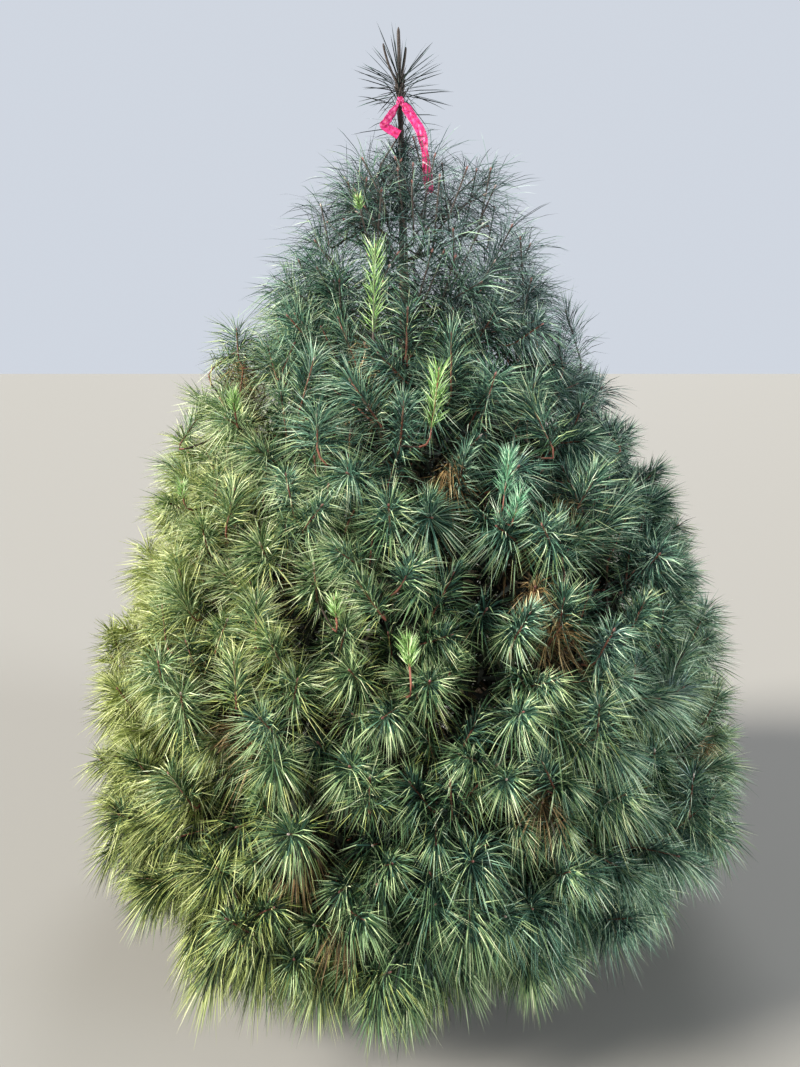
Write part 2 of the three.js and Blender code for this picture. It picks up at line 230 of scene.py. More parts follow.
masses = [mass for whorl in WHORLS for mass in whorl_masses(*whorl)]
crest = {
    "name": "leader_needles",
    "bough": None,
    "turn": 0.0,
    "centre": trunk_centre(CREST_FOOT + 0.04),
    "light": 0.0,
}
masses.append(crest)
centres = np.array([mass["centre"] for mass in masses])
print(len(masses), "masses of needles")

# %% [markdown]
# Meshes from whole arrays
# A crown has hundreds of thousands of needles, so nothing here loops over points. One helper
# turns arrays into a mesh, and one makes any number of tubes at once: a ring of points round
# every step of every path. Trunk, boughs, twigs, buds and shoots are all such tubes.


# %% Helpers for meshes
def add_piece(name, points, faces, materials, shades=None, smooth=True):
    """One object from arrays. faces is a list of (n, k) arrays of point numbers, and shades
    gives each face's material number, in the same order."""
    corners = np.concatenate([np.asarray(f).ravel() for f in faces])
    sizes = np.concatenate([np.full(len(f), np.shape(f)[1]) for f in faces])
    mesh = bpy.data.meshes.new(name)
    mesh.vertices.add(len(points))
    mesh.vertices.foreach_set("co", np.asarray(points, np.float32).ravel())
    mesh.loops.add(len(corners))
    mesh.loops.foreach_set("vertex_index", corners.astype(np.int32))
    mesh.polygons.add(len(sizes))
    starts = np.concatenate([[0], np.cumsum(sizes)[:-1]])
    mesh.polygons.foreach_set("loop_start", starts.astype(np.int32))
    for material in materials:
        mesh.materials.append(material)
    if shades is not None:
        mesh.polygons.foreach_set("material_index", np.asarray(shades, np.int32))
    mesh.polygons.foreach_set("use_smooth", np.full(len(sizes), smooth))
    mesh.update(calc_edges=True)
    piece = bpy.data.objects.new(name, mesh)
    bpy.context.scene.collection.objects.link(piece)
    return piece


def ring_frames(paths):
    """For each step of each path, its direction and two directions square to it."""
    along = unit(np.gradient(paths, axis=1))
    chord = unit(paths[:, -1] - paths[:, 0])
    steep = np.abs(chord[:, 2]) > 0.85
    level = np.where(steep[:, None], [0.0, 1.0, 0.0], UP)[:, None, :]
    side = unit(np.cross(level, along))
    return along, side, np.cross(along, side)


def tubes(paths, radii, sides):
    """Many tubes at once. Point = path + radius (cos a side + sin a over), a round the ring.
    radii has a number for each step, or one for each step and side. Returns the points, the
    side faces and the faces that close both ends."""
    count, steps = paths.shape[:2]
    angle = np.arange(sides) * 2 * math.pi / sides
    if np.ndim(radii) == 2:
        radii = np.repeat(radii[..., None], sides, axis=2)
    _, side, over = ring_frames(paths)
    spoke = (np.cos(angle)[:, None] * side[:, :, None, :]
             + np.sin(angle)[:, None] * over[:, :, None, :])
    points = paths[:, :, None, :] + radii[..., None] * spoke
    number = np.arange(count * steps * sides).reshape(count, steps, sides)
    after = np.roll(number, -1, axis=2)
    walls = np.stack([number[:, :-1], after[:, :-1], after[:, 1:], number[:, 1:]], axis=-1)
    ends = np.concatenate([number[:, 0, ::-1], number[:, -1]])
    return points.reshape(-1, 3), walls.reshape(-1, 4), ends


def bezier(a, b, c, steps):
    """Points of a curve with one bend: (1 - t)^2 a + 2 t (1 - t) b + t^2 c."""
    t = np.linspace(0, 1, steps)[:, None]
    return (1 - t) ** 2 * a + 2 * t * (1 - t) * b + t ** 2 * c


def stand_for(piece, node):
    """Ties a piece to the frame: it moves with the root and hides a node."""
    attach(piece, "root")
    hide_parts(node)


arch = bezier(np.zeros(3), 0.5 * UP, np.array([0.5, 0, 0.5]), 9)
print("a bent tube of 9 rings:", len(tubes(arch[None], np.full((1, 9), 0.05), 6)[0]), "points")

# %% [markdown]
# Bark
# A pine of this age has thin grey-brown bark: dull, faintly ridged lengthwise, and ringed by
# small scars. The same pattern serves the trunk, the boughs and the bare shoots at the top at
# different scales, so it is a node group with named inputs. It puts out a colour mask, a
# roughness and a height, and each material has its own shader.


# %% Helpers for materials
def linear(code):
    """A colour as the eye names it, such as 5d4c3f, in the linear numbers of a shader."""
    channels = np.array([int(code[i:i + 2], 16) for i in (0, 2, 4)]) / 255
    low, high = channels / 12.92, ((channels + 0.055) / 1.055) ** 2.4
    return (*np.where(channels <= 0.04045, low, high).tolist(), 1.0)


def new_material(name):
    """A material with nothing but a Principled shader: the material, its tree and the shader."""
    material = bpy.data.materials.new(name)
    material.use_nodes = True
    return material, material.node_tree, material.node_tree.nodes["Principled BSDF"]


def fill_in(node, values):
    """Sets a node's sockets by name."""
    for socket, value in values.items():
        node.inputs[socket].default_value = value


def plain_material(name, code, roughness, specular):
    """A Principled material of one base colour, for leaves and twigs by the thousand."""
    material, _, shader = new_material(name)
    fill_in(shader, {"Base Color": linear(code), "Roughness": roughness,
                     "Specular IOR Level": specular})
    return material


def new_node(tree, kind, values=None):
    """A shader node of that kind, with some of its sockets set."""
    node = tree.nodes.new("ShaderNode" + kind)
    fill_in(node, values or {})
    return node


def wire(tree, *wires):
    """Links nodes. Each wire is a node and its output, then a node and its input."""
    for source, output, target, socket in wires:
        tree.links.new(source.outputs[output], target.inputs[socket])


def two_tones(tree, dark, light, start, end):
    """A colour ramp from the dark tone at start to the light one at end."""
    ramp = new_node(tree, "ValToRGB")
    for stop, code, place in zip(ramp.color_ramp.elements, (dark, light), (start, end)):
        stop.color, stop.position = linear(code), place
    return ramp


def add_bump(tree, source, output, shader, relief):
    """A bump of that height in metres, from a node's output to the shader's Normal."""
    bump = new_node(tree, "Bump", {"Distance": relief})
    wire(tree, (source, output, bump, "Height"), (bump, "Normal", shader, "Normal"))


print("the brown 5d4c3f in a shader:", [round(v, 3) for v in linear("5d4c3f")])


# %% Bark pattern as a node group
def bark_group():
    """Scale and Stretch in; Plates, Roughness and Height out. Plates, a mask, is a noise times
    the distance to the nearest crack, and Roughness follows the noise alone."""
    group = bpy.data.node_groups.new("bark_pattern", "ShaderNodeTree")
    for name, side, kind in [("Scale", "INPUT", "Float"), ("Stretch", "INPUT", "Vector"),
                             ("Plates", "OUTPUT", "Float"), ("Roughness", "OUTPUT", "Float"),
                             ("Height", "OUTPUT", "Float")]:
        group.interface.new_socket(name, in_out=side, socket_type="NodeSocket" + kind)
    inlet, outlet = (group.nodes.new(kind) for kind in ("NodeGroupInput", "NodeGroupOutput"))
    place = new_node(group, "TexCoord")
    stretched = new_node(group, "VectorMath")
    stretched.operation = "MULTIPLY"
    coarse = new_node(group, "TexNoise", {"Detail": 6})
    cracks = new_node(group, "TexVoronoi")
    cracks.feature = "DISTANCE_TO_EDGE"
    plates = new_node(group, "MapRange", {"From Max": 0.12})
    mix = new_node(group, "Math")
    mix.operation = "MULTIPLY"
    rough = new_node(group, "MapRange", {"To Min": 0.75, "To Max": 0.98})
    wire(group,
         (place, "Object", stretched, 0), (inlet, "Stretch", stretched, 1),
         (stretched, 0, coarse, "Vector"), (inlet, "Scale", coarse, "Scale"),
         (stretched, 0, cracks, "Vector"), (inlet, "Scale", cracks, "Scale"),
         (cracks, "Distance", plates, "Value"), (plates, "Result", mix, 0),
         (coarse, "Fac", mix, 1), (coarse, "Fac", rough, "Value"),
         (mix, 0, outlet, "Plates"), (rough, "Result", outlet, "Roughness"),
         (mix, 0, outlet, "Height"))
    return group


BARK = bark_group()
print("bark pattern:", len(BARK.nodes), "nodes")


# %% Bark and twig materials
def bark_material(name, dark, light, scale, stretch, relief):
    """Bark of two tones: the group's mask blends them, and its height feeds a bump."""
    material, tree, shader = new_material(name)
    pattern = new_node(tree, "Group")
    pattern.node_tree = BARK
    fill_in(pattern, {"Scale": scale, "Stretch": stretch})
    tones = two_tones(tree, dark, light, 0.0, 0.6)
    wire(tree, (pattern, "Plates", tones, "Fac"), (tones, "Color", shader, "Base Color"),
         (pattern, "Roughness", shader, "Roughness"))
    add_bump(tree, pattern, "Height", shader, relief)
    return material


trunk_bark = bark_material("trunk_bark", "2a211b", "7c6c5c", 46, (1.0, 1.0, 0.35), 0.002)
bough_bark = bark_material("bough_bark", "352a22", "85735f", 90, (1.0, 1.0, 0.8), 0.0012)
shoot_bark = bark_material("shoot_bark", "211c1a", "4d433e", 240, (1.0, 1.0, 0.5), 0.0006)
old_twig = plain_material("old_twig", "332a23", 0.85, 0.3)
young_twig = plain_material("young_twig", "7a4737", 0.6, 0.4)
grey_twig = plain_material("grey_twig", "4a3f39", 0.7, 0.4)
bud_scale = plain_material("bud_scale", "94645c", 0.55, 0.4)
pale_bud = plain_material("pale_bud", "c9b5ab", 0.5, 0.4)
print("bark on", trunk_bark.name, bough_bark.name, shoot_bark.name)

# %% [markdown]
# Trunk and boughs
# A bump in the shader fades at the edge of a round stem, so the larger ridges are real: the
# radius of each tube rises and falls with turn and height. Waves of unlike pitch, bent by each
# other, never repeat in step, which is enough for bark. The trunk also swells where a whorl of
# boughs leaves it.


# %% Trunk
def bark_relief(turn, length):
    """Lengthwise ridges bent by slow waves, and small rings: about -1 to 1."""
    bend = 1.7 * np.sin(length * 31) + 0.9 * np.sin(length * 67 + 2 * turn)
    ridges = np.sin(9 * turn + bend) * np.sin(4 * turn - 0.6 * bend)
    rings = np.sin(length * 420 + 3 * np.sin(2 * turn)) * np.sin(length * 137)
    return 0.7 * ridges + 0.3 * rings


def dress_limb(name, node, line, radius, sides, depth, offset, material):
    """A tube with ridged bark along a line of points, that stands for a limb of the frame."""
    turns = np.arange(sides) * 2 * math.pi / sides
    steps = np.linalg.norm(np.diff(line, axis=0), axis=1)
    length = np.concatenate([[0], np.cumsum(steps)]) + offset
    relief = 1 + depth * bark_relief(turns[None, :], length[:, None])
    points, walls, ends = tubes(line[None], (radius[:, None] * relief)[None], sides)
    limb = add_piece(name, points, [walls, ends], [material])
    stand_for(limb, node)
    return limb


TRUNK_STEPS, TRUNK_SIDES = 520, 40
BARK_DEPTH = 0.035  # of the radius
BLUNT_END = 0.02  # the square of the share of the radius that is left at the very tip
WHORL_SWELL, WHORL_SPREAD = 0.10, 0.018  # of the radius, and metres up and down
LEADER_TOP = 2.498  # the photo shows the leader this much past the solid
LEADER_TIP = 0.010  # the last stretch, which closes to a blunt point
LEADER_FOOT = 1.92  # above it the bark is that of a shoot

heights = LEADER_TOP * np.linspace(0, 1, TRUNK_STEPS) ** 1.15  # closest at the flare
blunt = np.sqrt(np.clip((LEADER_TOP - heights) / LEADER_TIP, BLUNT_END, 1))
swell = sum(
    WHORL_SWELL * np.exp(-((heights - height + BOUGH_RISE) / WHORL_SPREAD) ** 2)
    for _, height, *_ in WHORLS
)
trunk = dress_limb("trunk_with_bark", "trunk", trunk_centre(heights),
                   trunk_radius(heights) * (1 + swell) * blunt,
                   TRUNK_SIDES, BARK_DEPTH, 0.0, trunk_bark)
places = np.empty(3 * len(trunk.data.vertices))
trunk.data.vertices.foreach_get("co", places)
places[2:3 * TRUNK_SIDES:3] = 0.0  # the heights of the first ring, which is a level cut
trunk.data.vertices.foreach_set("co", places)
trunk.data.materials.append(shoot_bark)
young = np.append(np.repeat(heights[:-1] > LEADER_FOOT, TRUNK_SIDES), [False, True])
trunk.data.polygons.foreach_set("material_index", young.astype(np.int32))
print("trunk", len(trunk.data.polygons), "faces")


# %% Boughs
BOUGH_STEPS, BOUGH_SIDES = 90, 14
BOUGH_DEPTH = 0.06  # of the radius
BOUGH_BEND, BOUGH_TIP = 0.062, 0.028  # how far these lie below the mass's middle
BOUGH_SHORT = 0.05  # of the radius: a bough ends this much before its mass begins
BOUGH_BEND_PLACE = 0.45  # of its way out


def bough_line(mass, steps):
    """The bough's middle line, from the trunk up to where its mass begins, as in the solids."""
    outward, height = around(mass["turn"]), mass["centre"][2]
    inner = crown_radius(height, mass["turn"]) * (mass["light"] - BOUGH_SHORT)
    root = trunk_centre(height - BOUGH_RISE)
    bend = trunk_centre(height - BOUGH_BEND) + outward * inner * BOUGH_BEND_PLACE
    tip = trunk_centre(height - BOUGH_TIP) + outward * inner
    return bezier(root, bend, tip, steps)


for mass in masses:
    if not mass["bough"]:
        continue
    line = bough_line(mass, BOUGH_STEPS)
    radius = np.linspace(BOUGH_ROOT_RADIUS, BOUGH_TIP_RADIUS, BOUGH_STEPS)
    dress_limb(mass["bough"] + "_with_bark", mass["bough"], line, radius,
               BOUGH_SIDES, BOUGH_DEPTH, mass["turn"], bough_bark)
    mass["stem_start"] = line[-1]
    mass["stem_heading"] = unit(line[-1] - line[-2])
print(sum(mass["bough"] is not None for mass in masses), "boughs")


# %% Bare shoots beside the leader
SHOOT_RADII = (0.0038, 0.0028)
SHOOT_BEND, SHOOT_BEND_OUT = 0.042, 0.75  # metres up, and of its way out
SHOOT_STEPS, SHOOT_SIDES, SHOOT_DEPTH = 60, 10, 0.07
SHOOT_END = [0.97, 0.85, 0.65, 0.35]  # how its last rings close

# Each bare shoot: the node, where it leaves the leader, how far out it stands, and its top.
BARE_SHOOTS = [
    ("left_leader_shoot", 2.352, (-0.042, -0.006, 0), 2.456),
    ("right_leader_shoot", 2.362, (0.019, 0.008, 0), 2.452),
]


def bare_shoot_line(start, out, top, steps):
    """Out from the leader, and then up beside it."""
    out = np.array(out)
    bend = trunk_centre(start + SHOOT_BEND) + SHOOT_BEND_OUT * out
    return bezier(trunk_centre(start), bend, trunk_centre(top) + out, steps)


for node, start, out, top in BARE_SHOOTS:
    radius = np.linspace(*SHOOT_RADII, SHOOT_STEPS)
    radius[-len(SHOOT_END):] *= SHOOT_END
    dress_limb(node + "_with_bark", node, bare_shoot_line(start, out, top, SHOOT_STEPS), radius,
               SHOOT_SIDES, SHOOT_DEPTH, start, shoot_bark)
print(len(BARE_SHOOTS), "bare shoots")

# %% [markdown]
# Where the shoots stand
# A sheared pine ends in a shell of short shoots, each with a brush of needles. The solids place
# a few of them on a spiral that turns by the golden angle, the way seeds sit in a cone, and
# here the same spiral carries many more. A second layer stands between them and deeper, and a
# third, thin and old, lies inside. Both are dealt darker tones, the third nearly black, as painted
# shade, and with it they keep the crown dark between the tufts.


# %% Helpers for tables
def chosen(table, rows):
    """The same rows of every column. Shoots and needles are kept in tables: one array for each
    property, with a row for each shoot or needle."""
    return {key: column[rows] for key, column in table.items()}


def joined(tables):
    """Tables with the same columns, one after the other."""
    return {key: np.concatenate([table[key] for table in tables]) for key in tables[0]}


def nearest(places, spots):
    """For each place, the number of the nearest spot and the distance to it."""
    gaps = np.linalg.norm(places[:, None] - np.asarray(spots)[None], axis=2)
    return np.argmin(gaps, axis=1), np.min(gaps, axis=1)


print(f"the crest is {nearest(centres[-1:], centres[:-1])[1][0]:.2f} m from the next mass")


# %% Shoots on the spiral
random = np.random.default_rng(1894)


def spiral_places(count, shift):
    """Heights and turns of count places, each with an even share of the crown's surface."""
    step = 0.005
    z = np.arange(CROWN_OUTLINE[0, 0], CROWN_OUTLINE[-1, 0], step)
    radius = np.interp(z, CROWN_OUTLINE[:, 0], CROWN_OUTLINE[:, 1])
    slant = np.hypot(step, np.interp(z + step, CROWN_OUTLINE[:, 0], CROWN_OUTLINE[:, 1]) - radius)
    area = np.cumsum(np.maximum(radius, CROWDED_RADIUS) * slant)
    i = np.arange(count)
    height = np.interp(area[-1] * (i + 0.5) / count, area, z)
    return height, (i * GOLDEN_ANGLE + shift) % (2 * math.pi)


print("five even places stand", np.round(spiral_places(5, 0.0)[0], 2).tolist(), "m up")

# %% Layers of shoots
# Each layer: number of shoots, how deep their buds lie, how far that varies, and the length of
# stem that bears needles.
LAYERS = [
    (640, 0.080, 0.080, 0.085),
    (590, 0.140, 0.060, 0.090),
    (280, 0.250, 0.120, 0.100),
]
# How much nearer to the surface the buds lie, by height, and how much more so on the right than
# on the left. Both were read off the outline in the photo.
LEVELS = [0.10, 0.25, 0.42, 0.59, 0.75, 0.92, 1.07, 1.22, 1.37, 1.52, 1.70, 1.85, 1.95, 2.10]
NEARER = [0.050, 0.050, 0.024, 0.022, 0.015, 0.034, 0.047, 0.073, 0.060, 0.063, 0.078, 0.050,
          0.046, 0.042]
SIDES = [-0.008, -0.008, 0.003, 0.020, 0.018, 0.005, 0.060, 0.035, 0.020, 0.016, -0.006, 0.032,
         0.050, 0.022]
SHOULDER, CROWDING = 2.12, 0.5  # above this height the shoots stand closer, by this factor
THIN_OUT = [1.97, 1.95, 1.85]  # height above which a layer is thinned out, so that sky shows
LEFT_OUT = np.array([0.35, 0.7, 1.0])  # share of each layer that is left out there
OPEN_SPOTS = [crown_spot(pixel) for pixel in [(195, 862), (172, 858)]]
OPEN_SPOT_RADIUS = 0.075
UP_SCATTER, SIDE_SCATTER = 0.028, 0.030  # metres
HEADING_SCATTER = 0.36  # for a heading of length 1
LOWEST_SHOOT, LOWEST_BUD = 0.12, 0.10
DEEPEST = 0.75  # of the radius
# Pairs of lists: heights, and how much a shoot heads up for 1 out, by what a layer's depth is
# multiplied, and by what a stem's length is.
LIFT = ([0.18, 0.5, 1.0, 1.6, 2.15], [0.1, 0.75, 1.2, 1.3, 1.3])
SHALLOW = ([1.6, 2.1], [1.0, 0.6])
LONGER = ([1.3, 2.1], [1.0, 1.6])
print("layers of", ", ".join(str(count) for count, *_ in LAYERS), "shoots")


# %% Shoots of the layers
def shoot_heading(out, height):
    """Outward at the skirt and more and more upward towards the top, some less and some more."""
    lift = np.interp(height, *LIFT) * random.uniform(0.3, 1.7, len(height))
    return unit(out + lift[:, None] * UP)


def grow_layer(number, count, depth, spread, stem):
    """The shoots of one layer as arrays, with a little scatter in place and heading. Towards
    the top the buds come nearer to the surface, and the stems are longer."""
    height, turn = spiral_places(count, 2.1 * number)
    height = np.maximum(height + random.normal(0, UP_SCATTER, count), LOWEST_SHOOT)
    aside = random.normal(0, SIDE_SCATTER, count)
    turn = turn + aside / np.maximum(crown_radius(height, turn), 0.2)
    at, out = crown_point(height, turn)
    at = at - (1 - CROWDING) * np.maximum(height - SHOULDER, 0)[:, None] * UP
    heading = unit(shoot_heading(out, height) + random.normal(0, HEADING_SCATTER, (count, 3)))
    inward = (depth + spread * random.random(count)) * np.interp(height, *SHALLOW)
    inward = inward - np.interp(height, LEVELS, NEARER)
    inward = inward - np.interp(height, LEVELS, SIDES) * np.cos(turn)
    inward = np.minimum(inward, DEEPEST * crown_radius(height, turn))
    stem = stem * np.interp(height, *LONGER)
    loose = random.random(count)
    return {
        "bud": at - inward[:, None] * out, "heading": heading, "layer": np.full(count, number),
        "stem": stem * random.uniform(0.8, 1.2, count) * (1.25 - 0.45 * loose),
        "height": height, "loose": loose, "bare": np.zeros(count),
    }


shoots = joined([grow_layer(k, *numbers) for k, numbers in enumerate(LAYERS)])
open_to = nearest(shoots["bud"], OPEN_SPOTS)[1]
crowded = shoots["height"] > np.array(THIN_OUT)[shoots["layer"]]
crowded &= random.random(len(crowded)) < LEFT_OUT[shoots["layer"]]
kept = (open_to > OPEN_SPOT_RADIUS) & (shoots["bud"][:, 2] > LOWEST_BUD) & ~crowded
shoots = chosen(shoots, kept)
print(kept.sum(), "shoots, and", (~kept).sum(), "left out")

# %% [markdown]
# The late bright shoots
# A few shoots grew after the shearing. They stand up from the crown like candles, with short
# needles of a fresh yellow-green along a reddish stem. Each is placed by where it starts and
# ends in the photo, and from there on it is a shoot like the others.

# %% Candles
CANDLE_LAYER = 3
CANDLE_SINK = 0.045
CANDLE_LEAN = 0.6  # 0: square to the line of sight, 1: along the crown's slope

# Each candle: the pixels of its foot and its tip, its family of colours, and the share of its
# stem that has no needles yet.
CANDLES = [
    ((373, 338), (375, 248), "fresh", 0.05),
    ((430, 438), (439, 372), "fresh", 0.12),
    ((503, 507), (509, 456), "teal", 0.20),
    ((512, 524), (520, 494), "teal", 0.05),
    ((411, 684), (408, 644), "fresh", 0.40),
    ((337, 626), (335, 602), "fresh", 0.30),
    ((236, 418), (233, 396), "fresh", 0.20),
    ((361, 213), (358, 199), "fresh", 0.20),
    ((184, 503), (182, 486), "fresh", 0.20),
]


def candle_shoot(foot_pixel, tip_pixel):
    """The bud, heading and stem of a candle. Its foot lies a little inside the crown, and it
    leans back with the slope behind it."""
    near, far = (np.linalg.norm(crown_spot(pixel) - CAMERA_PLACE)
                 for pixel in (foot_pixel, tip_pixel))
    foot = CAMERA_PLACE + pixel_ray(foot_pixel) * (near + CANDLE_SINK)
    reach = near + CANDLE_SINK + CANDLE_LEAN * max(far - near - CANDLE_SINK, 0)
    tip = CAMERA_PLACE + pixel_ray(tip_pixel) * reach
    return tip, unit(tip - foot), np.linalg.norm(tip - foot)


grown = [candle_shoot(foot, tip) for foot, tip, *_ in CANDLES]
bud, heading, stem = (np.array(column) for column in zip(*grown))
candles = {
    "bud": bud, "heading": heading, "layer": np.full(len(bud), CANDLE_LAYER),
    "stem": stem, "height": bud[:, 2], "loose": np.full(len(bud), 0.5),
    "bare": np.array([bare for *_, bare in CANDLES]),
}
shoots = joined([shoots, candles])
shoots["foot"] = shoots["bud"] - shoots["stem"][:, None] * shoots["heading"]
shoots["mass"] = nearest(shoots["foot"], centres)[0]
print(len(shoots["mass"]), "shoots in", len(np.unique(shoots["mass"])), "masses")

# %% [markdown]
# Twigs
# A twig doesn't run straight to the trunk. It leaves the nearest wood that already grows its
# way, so the shoots of a mass are joined one by one, from the stem outwards, each to the point
# that costs least: the gap to cross, plus a share of the way back along the wood. That is a
# simple form of the branching that competition for light gives a real tree. A twig is thicker
# the more shoots it feeds.

# %% Twigs of one mass
TWIG_STEPS, TWIG_SIDES = 8, 4
YOUNG_STEPS = 3  # steps at a twig's end that are still young wood
KEEPS_WAY = 0.35  # of the gap: how far a twig holds its parent's way, and then its shoot's
TURN_COST, TRAVEL_COST = 0.45, 0.45  # for a turn off the wood's way, and for the way back
STEM_DROP = 0.075  # how far below its mass's middle a stem leaves the trunk
STEM_PAST = 0.12  # of the radius: how far it goes on past that middle
CREST_DROP = 0.06  # how far below its needles the crest's wood begins and ends
GREY_HEIGHT = 1.75  # above it the young wood is grey-brown, and below it is red-brown


def twig_path(start, way, foot, heading, bud):
    """A bent line from the parent wood to the foot of the shoot, and on to the bud."""
    gap = np.linalg.norm(foot - start)
    t = np.linspace(0, 1, TWIG_STEPS - 1)[:, None]
    first, last = start + way * gap * KEEPS_WAY, foot - heading * gap * KEEPS_WAY
    line = ((1 - t) ** 3 * start + 3 * t * (1 - t) ** 2 * first
            + 3 * t ** 2 * (1 - t) * last + t ** 3 * foot)
    return np.concatenate([line, bud[None]])


def mass_stem(mass):
    """Points of the mass's own stem, from its bough's tip or the trunk to its middle and on."""
    centre = mass["centre"]
    outward = around(mass["turn"])
    start = mass.get("stem_start", trunk_centre(centre[2] - STEM_DROP))
    heading = mass.get("stem_heading", unit(outward + 0.35 * UP))
    bend = start + heading * np.linalg.norm(centre - start) / 2
    inner = bezier(start, bend, centre, TWIG_STEPS - 1)
    reach = crown_radius(centre[2], mass["turn"])
    tip = centre + (outward + 0.25 * UP) * reach * STEM_PAST
    return np.concatenate([inner, tip[None]])


def grow_twigs(number):
    """Paths and loads of a mass's twigs. The first is its stem, which feeds them all."""
    mass = masses[number]
    members = np.flatnonzero(shoots["mass"] == number)
    if mass is crest:
        stem = trunk_centre(np.linspace(CREST_FOOT, CREST_TOP, TWIG_STEPS) - CREST_DROP)
    else:
        stem = mass_stem(mass)
    wood, ways = stem, unit(np.gradient(stem, axis=0))
    travel = np.linspace(0, 0.3, TWIG_STEPS)
    owner = np.zeros(TWIG_STEPS, int)
    paths, parents = [stem], [-1]
    order = members[np.argsort(np.linalg.norm(shoots["foot"][members] - stem[0], axis=1))]
    outer = np.append(True, shoots["layer"][order] != 2)
    inner = TWIG_STEPS - 2
    for shoot in order:
        foot, heading = shoots["foot"][shoot], shoots["heading"][shoot]
        gap = foot - wood
        length = np.linalg.norm(gap, axis=1)
        turned = 1 - np.einsum("ij,ij->i", gap, ways) / length
        near = np.argmin(length * (1 + TURN_COST * turned) + TRAVEL_COST * travel)
        path = twig_path(wood[near], ways[near], foot, heading, shoots["bud"][shoot])
        paths.append(path)
        parents.append(owner[near])
        wood = np.concatenate([wood, path[1:-1]])
        ways = np.concatenate([ways, unit(np.gradient(path, axis=0))[1:-1]])
        further = length[near] * np.linspace(0.15, 1, inner)
        travel = np.concatenate([travel, travel[near] + further])
        owner = np.concatenate([owner, np.full(inner, len(paths) - 1)])
    loads = np.ones(len(paths))
    for twig in range(len(paths) - 1, 0, -1):
        loads[parents[twig]] += loads[twig]
    if mass is crest:
        return np.array(paths[1:]), loads[1:], outer[1:]
    return np.array(paths), loads, outer


print(masses[0]["name"], "has", len(grow_twigs(0)[0]), "twigs")


# %% Twigs and buds as meshes
TIP_RADIUS, LOAD_RADIUS = 0.0022, 0.0007  # of a shoot, and what the load's root adds to it
BUD_LENGTH = 0.012
BUD_PROFILE = np.array([0.0015, 0.0030, 0.0025, 0.0003])
BUD_SIDES = 5
PALE_BUDS = 0.18  # share of buds that have a crust of pale resin


def twig_radii(loads):
    """From a start that grows with the square root of the load, down to a shoot's radius."""
    start = np.minimum(TIP_RADIUS + LOAD_RADIUS * np.sqrt(loads), BOUGH_TIP_RADIUS * 0.8)
    share = np.linspace(1, 0, TWIG_STEPS) ** 1.2
    return TIP_RADIUS + (start - TIP_RADIUS)[:, None] * share


twig_triangles = 0
for number, mass in enumerate(masses):
    paths, loads, outer = grow_twigs(number)
    points, walls, ends = tubes(paths, twig_radii(loads), TWIG_SIDES)
    young = np.arange(TWIG_STEPS - 1) >= TWIG_STEPS - 1 - YOUNG_STEPS
    kind = 1 + 3 * (paths[:, -1, 2] > GREY_HEIGHT)
    shades = np.repeat(kind[:, None] * young, TWIG_SIDES)
    tips, heads = paths[outer, -1], unit(paths[outer, -1] - paths[outer, -2])
    ladder = np.linspace(0, BUD_LENGTH, len(BUD_PROFILE))
    bud_paths = tips[:, None] + heads[:, None] * ladder[:, None]
    bud_radii = np.tile(BUD_PROFILE, (len(tips), 1))
    more, bud_walls, bud_ends = tubes(bud_paths, bud_radii, BUD_SIDES)
    bud_shades = 2 + (random.random(len(tips)) < PALE_BUDS)
    wall_shades = np.repeat(bud_shades, len(bud_walls) // len(tips))
    twigs = add_piece(
        mass["name"].replace("needles", "twigs"),
        np.concatenate([points, more]),
        [walls, ends, bud_walls + len(points), bud_ends + len(points)],
        [old_twig, young_twig, bud_scale, pale_bud, grey_twig],
        np.concatenate([shades, np.ones(len(ends)), wall_shades, np.tile(bud_shades, 2)]),
    )
    stand_for(twigs, mass["name"])
    twig_triangles += 2 * (len(walls) + len(bud_walls))
print("twigs and buds", twig_triangles, "triangles")

# %% [markdown]
# Colours of the needles
# The needles of this pine come in bundles of five from one sheath, and from a step away a bundle
# reads as one bright strand between dark gaps. So a blade here is a flat strand as wide as a
# loose bundle, with a bend or two. Its colours are plain and dealt out: a family of greens for a
# tuft by where it stands on the tree, partly painted sunlight on the sides, and five tones of it,
# from the dark foot of a strand, partly painted shade, to its pale tip, partly painted light. A
# pattern would be lost on something three millimetres wide, and plain colours survive any export.

# %% Needle materials
FAMILIES = {
    "slate": ["0f1f1e", "37504c", "68827c", "95aca5", "b5c6c1"],
    "blue": ["0d211a", "335649", "648a73", "9ebb9c", "c9dbc2"],
    "green": ["14281a", "405f3e", "7a9466", "b0c290", "d5dfb6"],
    "yellow": ["303b1e", "6a7940", "9ca75f", "c4cc89", "dde2ad"],
    "old": ["393020", "6b573a", "977d52", "b6a073", "cfc19a"],
    "fresh": ["4d6e38", "729a52", "98bd72", "bbd698", "d7e8ba"],
    "teal": ["35604a", "55896a", "78ac88", "9fcba6", "c4e2c4"],
    # the inner family is nearly black: painted shade for the depths of the crown
    "inner": ["0c110b", "151b12", "22281a", "303524", "3f4431"],
}
TONES = 5
NEEDLE_ROUGHNESS, NEEDLE_SHINE = 0.55, 0.22
needle_materials = [
    plain_material(f"needles_{family}_{tone + 1}", code, NEEDLE_ROUGHNESS, NEEDLE_SHINE)
    for family, codes in FAMILIES.items() for tone, code in enumerate(codes)
]
SLATE, BLUE, GREEN, YELLOW, OLD, FRESH, TEAL, INNER_PAINTED_SHADE = range(len(FAMILIES))
print(len(needle_materials), "needle colours")

# %% Which family a tuft takes
OLD_SPOTS = [
    crown_spot(pixel)
    for pixel in [(200, 590), (230, 600), (272, 578), (290, 640), (225, 675), (275, 722),
                  (205, 740), (150, 785), (560, 622), (450, 722), (330, 960)]
]
OLD_SPOT_RADIUS = 0.12
OLD_SHARE = 0.65  # of the deeper shoots there
BROWN_TOP = 1.75
BROWN_BY_LAYER = np.array([0.0, 0.08, 0.35])
